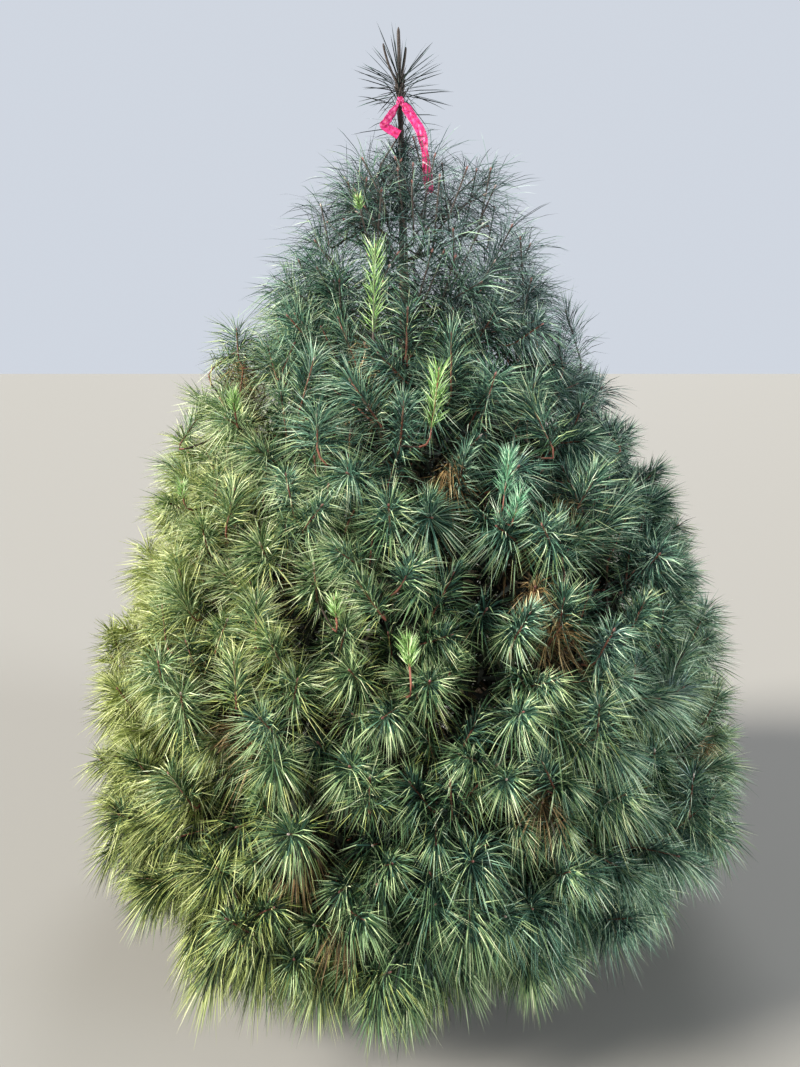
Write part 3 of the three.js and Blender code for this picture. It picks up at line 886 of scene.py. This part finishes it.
# Pairs of lists: places across, up or back, and what a share is multiplied by there. More old
# needles stand on the left and near the ground, and left and right differ less at the back.
BROWN_BY_SIDE = ([-0.5, 0.1, 0.5], [1.4, 1.0, 0.45])
BROWN_BY_LEVEL = ([0.3, 0.65], [2.0, 1.0])
SIDE_AT_BACK = ([-0.3, 0.5], [1.0, 0.45])


def deal_hue(bud):
    """A number along slate, blue, green and yellow. It falls from left to right, less so at the
    back, and towards the top, rises under the skirt, and swells slowly from place to place. The
    yellower left is partly the needles' own colour and partly painted warm sunlight."""
    x, y, z = bud.T
    x = x * np.interp(y, *SIDE_AT_BACK)
    patches = 0.28 * np.sin(5.1 * x + 3.7 * z + 1.0) * np.sin(4.3 * y - 5.3 * z)
    side = 1.55 - 1.8 * np.minimum(x, 0) - (0.7 + 2 * np.maximum(z - 1.3, 0)) * np.maximum(x, 0)
    level = 3.5 * np.maximum(0.30 - z, 0) - 1.4 * np.maximum(z - 1.1, 0)
    return side + level + patches + random.normal(0, 0.18, len(bud))


shoots["hue"] = deal_hue(shoots["bud"])
near_old = nearest(shoots["bud"], OLD_SPOTS)[1]
draw = random.random(len(near_old))
brown_share = BROWN_BY_LAYER[np.minimum(shoots["layer"], 2)]
brown_share *= np.interp(shoots["bud"][:, 0], *BROWN_BY_SIDE)
brown_share *= np.interp(shoots["bud"][:, 2], *BROWN_BY_LEVEL)
old = (shoots["layer"] == 1) & (near_old < OLD_SPOT_RADIUS * (0.7 + 0.6 * draw))
old &= shoots["loose"] < OLD_SHARE
old |= (draw < brown_share) & (shoots["height"] < BROWN_TOP)
# the deepest layer takes the near-black inner colours: painted shade
shoots["family"] = np.select([old, shoots["layer"] == 2], [OLD, INNER_PAINTED_SHADE], -1)
candle_families = [FRESH if kind == "fresh" else TEAL for _, _, kind, _ in CANDLES]
shoots["family"][-len(CANDLES):] = candle_families
print(old.sum(), "old shoots")

# %% [markdown]
# Needles
# On each shoot the bundles turn round the stem by the golden angle. Those at its foot stand
# wide and hang, and those at its tip close up round the bud. A blade leaves its foot in that
# direction, and its own weight bends it by the square of the way along, so that it arches.

# %% Blades
FINE_KNEES = np.array([[0.0, 0.35], [0.38, 1.0], [0.74, 0.8]])  # share of length, of width
COARSE_KNEES = np.array([[0.0, 0.4], [0.48, 1.0]])
FACING_UP = 0.4  # 0: the flat sides face any way, more: they tend to face up


def blade_lines(blades, shares):
    """Places at those shares t of each blade's length: foot + length (t way + t^2 droop)."""
    t = shares[None, :, None]
    bent = t * blades["way"][:, None] + t ** 2 * blades["droop"][:, None]
    return blades["foot"][:, None] + blades["length"][:, None, None] * bent


def blade_mesh(blades, knees):
    """Points and faces of blades: pairs of points at the knees, then the tip. Faces come one
    stretch after the other."""
    count, rows = len(blades["foot"]), len(knees)
    line = blade_lines(blades, np.append(knees[:, 0], 1.0))
    facing = FACING_UP * UP + random.normal(0, 1, (count, 3))
    side = unit(np.cross(blades["way"], facing))
    half = 0.5 * blades["width"][:, None, None] * knees[None, :, 1, None] * side[:, None]
    pairs = np.stack([line[:, :-1] - half, line[:, :-1] + half], axis=2)
    points = np.concatenate([pairs.reshape(count, 2 * rows, 3), line[:, -1:]], axis=1)
    first = (2 * rows + 1) * np.arange(count)[:, None]
    quads = [first + [2 * k, 2 * k + 1, 2 * k + 3, 2 * k + 2] for k in range(rows - 1)]
    tips = first + [2 * rows - 2, 2 * rows - 1, 2 * rows]
    return points.reshape(-1, 3), np.concatenate(quads), tips


def blade_shades(blades, rows):
    """A material number for every stretch of every blade, one stretch after the other: the
    tone rises and the hue turns towards yellow towards the tip, partly the needle's own colour
    and partly painted shade at the foot and painted light at the tip."""
    share = np.arange(rows)[:, None] / (rows - 1)
    tone = blades["tone"][None] + np.round(share * blades["rise"][None]).astype(int)
    hue = np.clip(np.round(blades["hue"][None] - 0.25 + 0.5 * share), SLATE, YELLOW).astype(int)
    family = np.where(blades["family"][None] >= 0, blades["family"][None], hue)
    return (family * TONES + np.clip(tone, 0, TONES - 1)).ravel()


fine_points, coarse_points = (2 * len(knees) + 1 for knees in (FINE_KNEES, COARSE_KNEES))
print("a fine blade has", fine_points, "points, a coarse one", coarse_points)


# %% Habit of each shoot
# By layer: bundles on a shoot, needle length and blade width.
BUNDLES = np.array([265, 175, 45, 130])
LENGTHS = np.array([1.0, 0.98, 0.9, 0.44]) * NEEDLE_LENGTH
WIDTHS = np.array([0.0021, 0.0025, 0.0055, 0.0024])
TIGHT, OPEN = (52, 12), (90, 46)  # degrees from the stem, at the foot and at the tip
CANDLE_SPREAD = (58, 36)
LIMPNESS = np.array([1.0, 1.7, 1.3, 0.0])  # by layer: old needles hang more
UPPER, THIN = [1.5, 2.05], [1.8, 2.1]  # from and to which height the habit turns to the top's
SIDE_REACH = 0.6  # metres from the axis at which a side counts in full
# Pairs of lists: heights, and the sag there, or how many tones lighter the needles are:
# painted sunlight on the sides, and painted shade below 0.
SAG = ([0.1, 0.5, 1.2, 2.2], [0.50, 0.36, 0.30, 0.45])
SHADE = ([0.4, 0.8, 1.1], [-0.75, -0.35, 0.0])
LEFT_SUN = ([0.4, 0.8, 1.3], [0.15, 0.8, 1.1])
RIGHT_SUN = ([0.4, 0.75, 0.95, 1.15, 1.5, 1.9], [1.05, 1.05, 0.8, -0.3, -0.05, 1.0])


def tone_shift(bud):
    """How many tones lighter a tuft is, or darker below 0: painted sunlight lightens the sides,
    the left one most, and painted shade darkens the foot of the crown."""
    side = bud[:, 0] * np.interp(bud[:, 1], *SIDE_AT_BACK)
    left, right = (np.clip(way * side / SIDE_REACH, 0, 1) for way in (-1, 1))
    shade, left_sun, right_sun = (np.interp(bud[:, 2], *levels)
                                  for levels in (SHADE, LEFT_SUN, RIGHT_SUN))
    return shade + left * left_sun + right * right_sun


def shoot_habit(shoots):
    """For each shoot: how many bundles, their angles at its foot and tip, length, width and
    sag. Towards the top, soonest on the right, the needles are fewer, and those at the top are
    longer, thinner and more arching, and darker with painted shade. There and on the right their
    tones are less even."""
    height, layer, count = shoots["height"], shoots["layer"], len(shoots["layer"])
    candle = layer == CANDLE_LAYER
    across = shoots["bud"][:, 0]
    upper = np.where(candle, 0.0, np.interp(height, UPPER, [0.0, 1.0]))
    thin = np.where(candle, 0.0, np.interp(height + 0.3 * across, THIN, [0.0, 1.0]))
    loose = np.maximum(shoots["loose"], 0.6 * upper)
    small = np.where(candle, np.interp(shoots["stem"], [0.03, 0.10], [0.5, 1.0]), 1.0)
    wide, close = (TIGHT[k] + (OPEN[k] - TIGHT[k]) * loose for k in (0, 1))
    bundles = BUNDLES[layer] * (1 - 0.5 * upper) * (1 - 0.42 * thin) * small
    sag = np.interp(height, *SAG) * LIMPNESS[layer] * np.where(shoots["family"] == OLD, 1.6, 1.0)
    return {
        "bundles": np.round(bundles).astype(int),
        "wide": np.radians(np.where(candle, CANDLE_SPREAD[0], wide)),
        "close": np.radians(np.where(candle, CANDLE_SPREAD[1], close)),
        "length": LENGTHS[layer] * small * (1 + 0.38 * upper) * random.uniform(0.80, 1.22, count),
        "width": WIDTHS[layer] * (1 - 0.25 * upper),
        # painted light and shade: lighter sunlit sides, a darker foot and a darker top
        "shift": np.where(candle, 0.0, tone_shift(shoots["bud"]) - 0.6 * upper),
        "uneven": 1 + 1.3 * upper + 1.2 * np.clip(across / SIDE_REACH, 0, 1),
        "sag": np.where(candle, -0.15, sag),
    }


# %% Brushes of needles
# By layer: the odds of the three darkest tones at the foot of a blade, and of a rise by 0, 1 or
# 2 tones towards its tip. The deeper layers get darker tones as painted shade, and the rise is
# partly the tips' own paler colour and partly painted light.
TONE_ODDS = np.array([[0.36, 0.44, 0.20], [0.60, 0.32, 0.08], [0.9, 0.1, 0.0], [0.2, 0.4, 0.4]])
RISE_ODDS = np.array([[0.18, 0.56, 0.26], [0.30, 0.54, 0.16], [0.6, 0.4, 0.0], [0.1, 0.6, 0.3]])
YOUNG_PALE = 0.7  # how many tones lighter the youngest needles of a shoot are than its oldest
ANGLE_SCATTER, TURN_SCATTER, HUE_SCATTER = 0.15, 0.2, 0.22
FINE_HEIGHT = 1.85  # above it the outer needles stand against the sky, and are drawn finer


def side_ways(heading):
    """Two directions square to each heading."""
    level = np.where(np.abs(heading[:, 2:]) > 0.9, [1.0, 0.0, 0.0], UP)
    side = unit(np.cross(level, heading))
    return side, np.cross(heading, side)


def drawn(odds):
    """For each row of odds, 0, 1 or 2 by chance."""
    return (random.random(len(odds))[:, None] > np.cumsum(odds, axis=1)[:, :2]).sum(axis=1)


def brush(shoots):
    """All blades of all shoots as arrays: feet, directions, sizes, sag and colour."""
    habit = shoot_habit(shoots)
    number = np.repeat(np.arange(len(habit["bundles"])), habit["bundles"])
    starts = np.cumsum(habit["bundles"]) - habit["bundles"]
    step = np.arange(len(number)) - starts[number]
    climb = (step + 0.5) / habit["bundles"][number]
    climb = shoots["bare"][number] * (1 - climb) + climb
    heading, layer, count = shoots["heading"][number], shoots["layer"][number], len(number)

    angle = habit["wide"][number] * (1 - climb) + habit["close"][number] * climb
    angle = angle + random.normal(0, ANGLE_SCATTER, count)
    turn = step * GOLDEN_ANGLE + random.normal(0, TURN_SCATTER, count)
    side, over = side_ways(heading)
    rim = np.cos(turn)[:, None] * side + np.sin(turn)[:, None] * over
    sag = habit["sag"][number] * random.uniform(0.4, 1.3, count)
    sag = sag * np.interp(climb, [0, 0.3], [1.7, 1.0])
    hue = shoots["hue"][number] + random.normal(0, HUE_SCATTER, count)
    shift = habit["shift"][number] + YOUNG_PALE * (climb - 0.3) + 0.5
    shift = shift + habit["uneven"][number] * (random.random(count) - 0.5)
    return {
        "foot": shoots["bud"][number] - ((1 - climb) * shoots["stem"][number])[:, None] * heading,
        "way": np.cos(angle)[:, None] * heading + np.sin(angle)[:, None] * rim,
        "length": habit["length"][number] * random.uniform(0.82, 1.10, count),
        "width": habit["width"][number] * random.uniform(0.8, 1.2, count),
        "droop": -sag[:, None] * UP,
        "tone": drawn(TONE_ODDS[layer]) + np.floor(shift).astype(int),
        "rise": drawn(RISE_ODDS[layer]),
        "hue": hue + np.interp(climb, [0, 0.3], [0.7, 0.0]),
        "family": shoots["family"][number], "mass": shoots["mass"][number],
        "fine": (layer == 0) & (shoots["height"][number] > FINE_HEIGHT),
    }


blade_sets = [brush(shoots)]
print(len(blade_sets[0]["foot"]), "blades on the shoots")

# %% [markdown]
# Old needles inside
# Little light gets through a sheared shell, so the needles behind it are old and dull, and
# many hang dead in the twigs. Nobody sees one of them, only that the gaps between the tufts are
# nearly black. So they are few and wide, and their near-black colour is painted shade: blades
# that lie across the line of sight, in a shell behind the shoots, and in a flat disc among the
# lowest boughs. Towards the top they narrow, for there the sky shows through.

# %% Inner needles
INNER_COUNT = 23000
INNER_DEPTH, INNER_SPREAD = 0.20, 0.22
INNER_LENGTH, INNER_WIDTH = 0.090, 0.011
INNER_FOOT, INNER_TOP = 0.15, 1.93  # the lowest and the highest of them
INNER_BROWN = 0.2  # share of them that is brown
# Pairs of lists: heights, and by what the depth or the width is multiplied there.
INNER_SHALLOW = ([1.5, 2.1], [1.0, 0.5])
INNER_NARROW = ([1.45, 1.85], [1.0, 0.32])
# A disc of near-black blades among the lowest boughs: painted shade that hides the floor under the
# crown.
BASE_COUNT = 6000
BASE_HEIGHTS, BASE_REACHES = (0.09, 0.30), (0.12, 0.66)  # of a disc with a hole for the trunk


def shell_places(count):
    """Feet at even places of a deeper shell, and the directions that face out of it."""
    height, turn = spiral_places(count, 0.7)
    kept = height < INNER_TOP
    height, turn = np.maximum(height[kept], INNER_FOOT), turn[kept]
    at, out = crown_point(height, turn)
    depth = INNER_DEPTH * np.interp(height, *INNER_SHALLOW)
    depth = depth + INNER_SPREAD * random.random(len(height))
    return at - np.minimum(depth, 0.8 * crown_radius(height, turn))[:, None] * out, out


def base_places(count):
    """Feet spread through a flat disc among the lowest boughs, which is open underneath."""
    near, far = BASE_REACHES
    radius = near + (far - near) * np.sqrt(random.random(count))
    out = around(np.arange(count) * GOLDEN_ANGLE)
    return trunk_centre(random.uniform(*BASE_HEIGHTS, count)) + radius[:, None] * out, out


def inner_needles(foot, out):
    """Blades in any direction, but mostly square to the one that faces out."""
    count = len(foot)
    way = random.normal(0, 1, (count, 3))
    way = unit(way - 0.7 * np.einsum("ij,ij->i", way, out)[:, None] * out)
    brown = random.random(count) < INNER_BROWN
    width = INNER_WIDTH * np.interp(foot[:, 2], *INNER_NARROW)
    return {
        "foot": foot, "way": way,
        "length": INNER_LENGTH * random.uniform(0.7, 1.2, count),
        "width": width * random.uniform(0.7, 1.2, count),
        "droop": -0.2 * random.random(count)[:, None] * UP,
        "tone": np.where(brown, 0, random.integers(0, 3, count)), "rise": np.zeros(count, int),
        "hue": np.zeros(count), "family": np.where(brown, OLD, INNER_PAINTED_SHADE),
        "mass": nearest(foot, centres)[0], "fine": np.full(count, False),
    }


blade_sets += [inner_needles(*shell_places(INNER_COUNT)), inner_needles(*base_places(BASE_COUNT))]
print(sum(len(part["foot"]) for part in blade_sets[1:]), "blades inside")

# %% [markdown]
# Needles of the leader
# Right under the three bare shoots stands a burst of long needles, thin against the sky, and
# below it the leader has a few more that hang. Shorter ones lie close along the stem, under the
# tape and down into the crown. They are counted, not packed: the real leader has kept few.

# %% Leader needles
LEADER_LENGTH, LEADER_WIDTH = 0.140, 0.0025
UPRIGHT, UPRIGHT_LENGTH = 45, 0.5  # needles nearer to the stem than these degrees are shorter

# Each band: lowest and highest foot, how many, degrees from the stem at its foot and top, sag.
LEADER_BANDS = [
    (2.330, 2.380, 84, (105, 20), 0.08),
    (2.200, 2.330, 50, (80, 60), 0.22),
    (2.000, 2.325, 330, (34, 10), 0.05),
]


def leader_band(low, high, count, spread, sag):
    """Blades round the leader from one height to another, turned by the golden angle."""
    i = np.arange(count)
    height = low + (high - low) * (i + 0.5) / count
    turn = i * GOLDEN_ANGLE + random.normal(0, 0.25, count)
    angle = np.radians(np.linspace(*spread, count)) + random.normal(0, 0.22, count)
    way = np.sin(angle)[:, None] * around(turn) + np.cos(angle)[:, None] * UP
    foot = trunk_centre(height) + around(turn) * trunk_radius(height)[:, None] * 0.8
    shorter = UPRIGHT_LENGTH if spread[0] < UPRIGHT else 1
    return {
        "foot": foot, "way": unit(way),
        "length": LEADER_LENGTH * random.uniform(0.75, 1.05, count) * shorter,
        "width": LEADER_WIDTH * random.uniform(0.8, 1.2, count),
        "droop": -sag * random.uniform(0.5, 1.5, count)[:, None] * UP,
        "tone": np.zeros(count, int), "rise": random.integers(0, 2, count),
        "hue": random.normal(0.2, 0.4, count),
        "family": np.full(count, -1), "mass": np.full(count, len(masses) - 1),
        "fine": np.full(count, True),
    }


blade_sets += [leader_band(*band) for band in LEADER_BANDS]
blades = joined(blade_sets)
print(sum(count for _, _, count, *_ in LEADER_BANDS), "blades on the leader")

# %% Buds under the bare shoots
WHORL_BUDS, WHORL_BUD_SIDES = 22, 6
WHORL_BUD_FOOT, WHORL_BUD_RISE, WHORL_BUD_LENGTH = 2.322, 0.045, 0.023
WHORL_BUD_PROFILE = np.array([0.0032, 0.0042, 0.0038, 0.0024, 0.0004])

i = np.arange(WHORL_BUDS)
height, out = WHORL_BUD_FOOT + WHORL_BUD_RISE * (i + 0.5) / WHORL_BUDS, around(i * GOLDEN_ANGLE)
bud_foot = trunk_centre(height) + out * trunk_radius(height)[:, None] * 0.5
ladder = np.linspace(0, WHORL_BUD_LENGTH, len(WHORL_BUD_PROFILE))
bud_paths = bud_foot[:, None] + unit(out + 1.5 * UP)[:, None] * ladder[:, None]
bud_radii = np.tile(WHORL_BUD_PROFILE, (WHORL_BUDS, 1))
points, walls, ends = tubes(bud_paths, bud_radii, WHORL_BUD_SIDES)
whorl_buds = add_piece("leader_whorl_buds", points, [walls, ends], [shoot_bark])
stand_for(whorl_buds, crest["name"])
print(WHORL_BUDS, "buds under the bare shoots")

# %% [markdown]
# Room for the tape
# A strip of pink marker tape is tied round the leader, with a short end on the left and a long
# one on the right. Whoever tied it pushed the needles aside, and the bare shoots stand free too.
# So a needle that would cross in front of them is left out, except for a few.

# %% The course of the tape
KNOT_HEIGHT = 2.315

# For each end: points of its middle line, as right, back and up from the leader at the knot's
# height, and the direction across the tape at each point.
SHORT_END = (
    [(-0.005, -0.008, -0.010), (-0.020, -0.013, -0.032), (-0.038, -0.017, -0.056),
     (-0.044, -0.019, -0.066), (-0.036, -0.021, -0.072), (-0.022, -0.023, -0.080),
     (-0.003, -0.025, -0.091)],
    [(0.5, 0.7, -0.3), (0.6, 0.7, -0.3), (0.7, 0.7, -0.1), (0.8, 0.5, 0.4), (0.6, 0.3, 0.8),
     (0.5, 0.2, 0.8), (0.5, 0.1, 0.9)],
)
LONG_END = (
    [(0.004, -0.008, -0.008), (0.016, -0.014, -0.020), (0.033, -0.022, -0.047),
     (0.051, -0.032, -0.076), (0.061, -0.038, -0.104), (0.067, -0.034, -0.138),
     (0.074, -0.022, -0.184), (0.081, -0.008, -0.236)],
    [(0.5, 0.3, 0.8), (0.6, 0.1, 0.8), (0.8, 0.1, 0.5), (0.9, 0.0, 0.4), (0.9, -0.3, 0.2),
     (0.5, -0.8, 0.1), (0.9, -0.4, 0.1), (0.8, 0.5, 0.2)],
)


def through(points, steps):
    """A smooth curve through points: between each two a cubic, whose slope at a point is half
    of the way from the point before it to the one after."""
    points = np.asarray(points, float)
    slopes = np.gradient(points, axis=0)
    t = np.linspace(0, len(points) - 1, steps)
    k = np.minimum(t.astype(int), len(points) - 2)
    u = (t - k)[:, None]
    return ((2 * u ** 3 - 3 * u ** 2 + 1) * points[k] + (u ** 3 - 2 * u ** 2 + u) * slopes[k]
            + (3 * u ** 2 - 2 * u ** 3) * points[k + 1] + (u ** 3 - u ** 2) * slopes[k + 1])


LINE_STEPS, LONG_STEPS = 30, 60
SEEN_STEPS = 27  # of the long end: the rest hangs among the needles
HIDDEN_STEPS = 10  # of a bare shoot, at its foot

# Each line that needles keep clear of, with the gap in pixels.
open_lines = [
    (through(SHORT_END[0], LINE_STEPS) + trunk_centre(KNOT_HEIGHT), 5.0),
    (through(LONG_END[0], LONG_STEPS)[:SEEN_STEPS] + trunk_centre(KNOT_HEIGHT), 5.5),
]
open_lines += [
    (bare_shoot_line(*course, LINE_STEPS)[HIDDEN_STEPS:], 2.0) for _, *course in BARE_SHOOTS
]
print(len(open_lines), "lines that needles keep clear of")


# %% Needles left out
OPEN_HEIGHT = 2.08  # no needle below it can reach these lines
STILL_THERE = 0.08  # share of the crossing needles that stays
TRIED_SHARES = np.array([0.15, 0.4, 0.6, 0.8, 1.0])


def crosses(blades, line, reach):
    """True for blades that pass in front of the line, nearer than reach in pixels."""
    seen, depth = pixel_of(blade_lines(blades, TRIED_SHARES))
    line_seen, line_depth = pixel_of(line)
    gap = np.linalg.norm(seen[:, :, None] - line_seen[None, None], axis=-1)
    return ((gap < reach) & (depth[..., None] < line_depth + 0.01)).any(axis=(1, 2))


near_top = np.flatnonzero(blades["foot"][:, 2] > OPEN_HEIGHT)
upper_blades = chosen(blades, near_top)
crossing = np.any([crosses(upper_blades, *line) for line in open_lines], axis=0)
crossing &= random.random(len(crossing)) > STILL_THERE
kept = np.full(len(blades["foot"]), True)
kept[near_top[crossing]] = False
blades = chosen(blades, kept)
print(crossing.sum(), "blades left out")


# %% Needle pieces
LIMB_CLEARANCE, GROUND_CLEARANCE = 0.003, 0.012


def clear_of_limbs(blades):
    """True for blades that stay out of the trunk and above the ground."""
    tip = blades["foot"] + (blades["way"] + blades["droop"]) * blades["length"][:, None]
    level = tip - trunk_centre(np.clip(tip[:, 2], 0, TREE_HEIGHT))
    outside = np.hypot(level[:, 0], level[:, 1]) > trunk_radius(tip[:, 2]) + LIMB_CLEARANCE
    return (outside | (tip[:, 2] > CREST_FOOT)) & (tip[:, 2] > GROUND_CLEARANCE)


blades = chosen(blades, clear_of_limbs(blades))
needle_triangles = 0
for number, mass in enumerate(masses):
    points, faces, shades, start = [], [], [], 0
    for fine, knees in ((True, FINE_KNEES), (False, COARSE_KNEES)):
        part = chosen(blades, (blades["mass"] == number) & (blades["fine"] == fine))
        places, quads, tips = blade_mesh(part, knees)
        points.append(places)
        faces += [quads + start, tips + start]
        shades.append(blade_shades(part, len(knees)))
        start += len(places)
        needle_triangles += 2 * len(quads) + len(tips)
    used, slot = np.unique(np.concatenate(shades), return_inverse=True)
    needles = add_piece(mass["name"] + "_grown", np.concatenate(points), faces,
                        [needle_materials[k] for k in used], slot, smooth=False)
    stand_for(needles, mass["name"])
print(len(blades["foot"]), "blades,", needle_triangles, "triangles")

# %% [markdown]
# The marker tape
# The tape is thin plastic, knotted once, with a short end that folds back and a long end that
# hangs among the needles. A tape is a ruled surface: a line for its middle and a direction
# across it at each step. So both run smoothly through a few points, and low waves crumple it.

# %% Tape material
def tape_material():
    """Pink plastic: one noise blends two pinks, and its height gives the crumple a bump."""
    material, tree, shader = new_material("pink_tape")
    fill_in(shader, {"Roughness": 0.5})
    place = new_node(tree, "TexCoord")
    noise = new_node(tree, "TexNoise", {"Scale": 170, "Detail": 3})
    tones = two_tones(tree, "c40d50", "df4692", 0.35, 0.68)
    wire(tree, (place, "Object", noise, "Vector"), (noise, "Fac", tones, "Fac"),
         (tones, "Color", shader, "Base Color"))
    add_bump(tree, noise, "Fac", shader, 0.0012)
    return material


pink_tape = tape_material()
print("tape material:", pink_tape.name)


# %% Ends of the tape
TAPE_WIDTH = 0.026
TAPE_THICKNESS = 0.0003
TAPE_STEPS, TAPE_COLUMNS = 120, 11
GATHERED = ([0, 0.15], [0.35, 1.0])  # shares of an end's length, and of the tape's width there
CRUMPLE = 0.0013


def tape_end(name, middle, across):
    """Point = middle line + v width across + waves along the normal, v from -1/2 to 1/2. The
    width grows from the knot, where the tape is gathered."""
    line = through(middle, TAPE_STEPS) + trunk_centre(KNOT_HEIGHT)
    along = unit(np.gradient(line, axis=0))
    across = through(across, TAPE_STEPS)
    across = unit(across - np.einsum("ij,ij->i", across, along)[:, None] * along)
    normal = np.cross(along, across)[:, None]
    width = TAPE_WIDTH * np.interp(np.linspace(0, 1, TAPE_STEPS), *GATHERED)
    length = np.cumsum(np.linalg.norm(np.diff(line, axis=0, prepend=line[:1]), axis=1))[:, None]
    v = np.linspace(-0.5, 0.5, TAPE_COLUMNS)[None, :]
    waves = np.sin(230 * length + 7 * v) * np.cos(8 * v - 90 * length) + 0.6 * np.sin(9 * v)
    points = (line[:, None] + (width[:, None] * v)[..., None] * across[:, None]
              + CRUMPLE * waves[..., None] * normal)
    number = np.arange(points.shape[0] * TAPE_COLUMNS).reshape(-1, TAPE_COLUMNS)
    faces = np.stack([number[:-1, :-1], number[:-1, 1:], number[1:, 1:], number[1:, :-1]], axis=-1)
    end = add_piece(name, points.reshape(-1, 3), [faces.reshape(-1, 4)], [pink_tape])
    wall = end.modifiers.new("thickness", "SOLIDIFY")
    wall.thickness, wall.offset = TAPE_THICKNESS, 0.0
    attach(end, "root")
    print(name, f"{length[-1, 0] * 1000:.0f} mm long")


tape_end("marker_tape_short_end", *SHORT_END)
tape_end("marker_tape_long_end", *LONG_END)

# %% Knot of the tape
KNOT_LENGTH, KNOT_RADIUS = 0.027, 0.0098
KNOT_STEPS, KNOT_SIDES = 26, 36

rise = np.linspace(-0.5, 0.5, KNOT_STEPS)[:, None]
angles = (np.arange(KNOT_SIDES) * 2 * math.pi / KNOT_SIDES)[None, :]
swell = np.sqrt(np.cos(math.pi * rise * 0.96))
folds = 1 + 0.10 * np.sin(3 * angles + 11 * rise) + 0.07 * np.sin(8 * angles - 17 * rise)
knot_line = trunk_centre(KNOT_HEIGHT + KNOT_LENGTH * rise[:, 0])
points, walls, ends = tubes(knot_line[None], (KNOT_RADIUS * swell * folds)[None], KNOT_SIDES)
knot = add_piece("marker_tape_knot", points, [walls, ends], [pink_tape])
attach(knot, "root")
print("knot", KNOT_LENGTH * 1000, "mm high")

# %% [markdown]
# The studio
# A plain pale floor and soft light from all round. A wide key lamp stands on the left, where the
# photo is brightest, a cooler fill lamp on the right reaches under the tufts there, and a faint
# one behind catches the tips. A dense crown shades itself, so none of them may be hard.

# %% Floor, lamps and world
FLOOR_REACH = 400.0
floor_points = np.array([[-1, -1, 0], [1, -1, 0], [1, 1, 0], [-1, 1, 0]]) * FLOOR_REACH
floor_material = plain_material("pale_floor", "8b8985", 0.9, 0.2)
floor = add_piece("floor", floor_points, [np.array([[0, 1, 2, 3]])], [floor_material])


def far_lamp(name, toward, strength, softness, colour):
    """A lamp so far off that it lights the whole floor evenly. toward points at it from the
    tree, and softness is its width in degrees as the tree sees it."""
    lamp = bpy.data.lights.new(name, "SUN")
    lamp.energy, lamp.angle, lamp.color = strength, math.radians(softness), colour
    holder = bpy.data.objects.new(name, lamp)
    level = math.hypot(toward[0], toward[1])
    holder.rotation_euler = (math.atan2(level, toward[2]), 0,
                             math.atan2(toward[1], toward[0]) + math.pi / 2)
    bpy.context.scene.collection.objects.link(holder)


LAMPS = [
    ("key", (-0.88, -0.22, 0.52), 9.9, 20, (1.0, 0.96, 0.88)),
    ("fill", (0.90, -0.36, 0.22), 4.2, 22, (0.92, 0.97, 1.0)),
    ("rim", (0.15, 0.75, 0.60), 2.0, 35, (0.95, 0.97, 1.0)),
]
for lamp in LAMPS:
    far_lamp(*lamp)
print("floor and lamps:", ", ".join(name for name, *_ in LAMPS))

# %% The room's soft light
SOFT_LIGHT = 0.28
BACKDROP = 0.75
SKY_COLOUR = (0.84, 0.90, 1.0, 1.0)


def studio_world():
    """Pale light from all round, and the same colour, brighter, behind what the camera sees."""
    world = bpy.data.worlds.new("studio")
    world.use_nodes = True
    light = world.node_tree.nodes["Background"]
    fill_in(light, {"Color": SKY_COLOUR})
    path = new_node(world.node_tree, "LightPath")
    strength = new_node(world.node_tree, "MapRange", {"To Min": SOFT_LIGHT, "To Max": BACKDROP})
    wire(world.node_tree, (path, "Is Camera Ray", strength, "Value"),
         (strength, "Result", light, "Strength"))
    return world


bpy.context.scene.world = studio_world()
bpy.context.scene.view_settings.view_transform = "Standard"
print("soft light", SOFT_LIGHT, "and backdrop", BACKDROP)
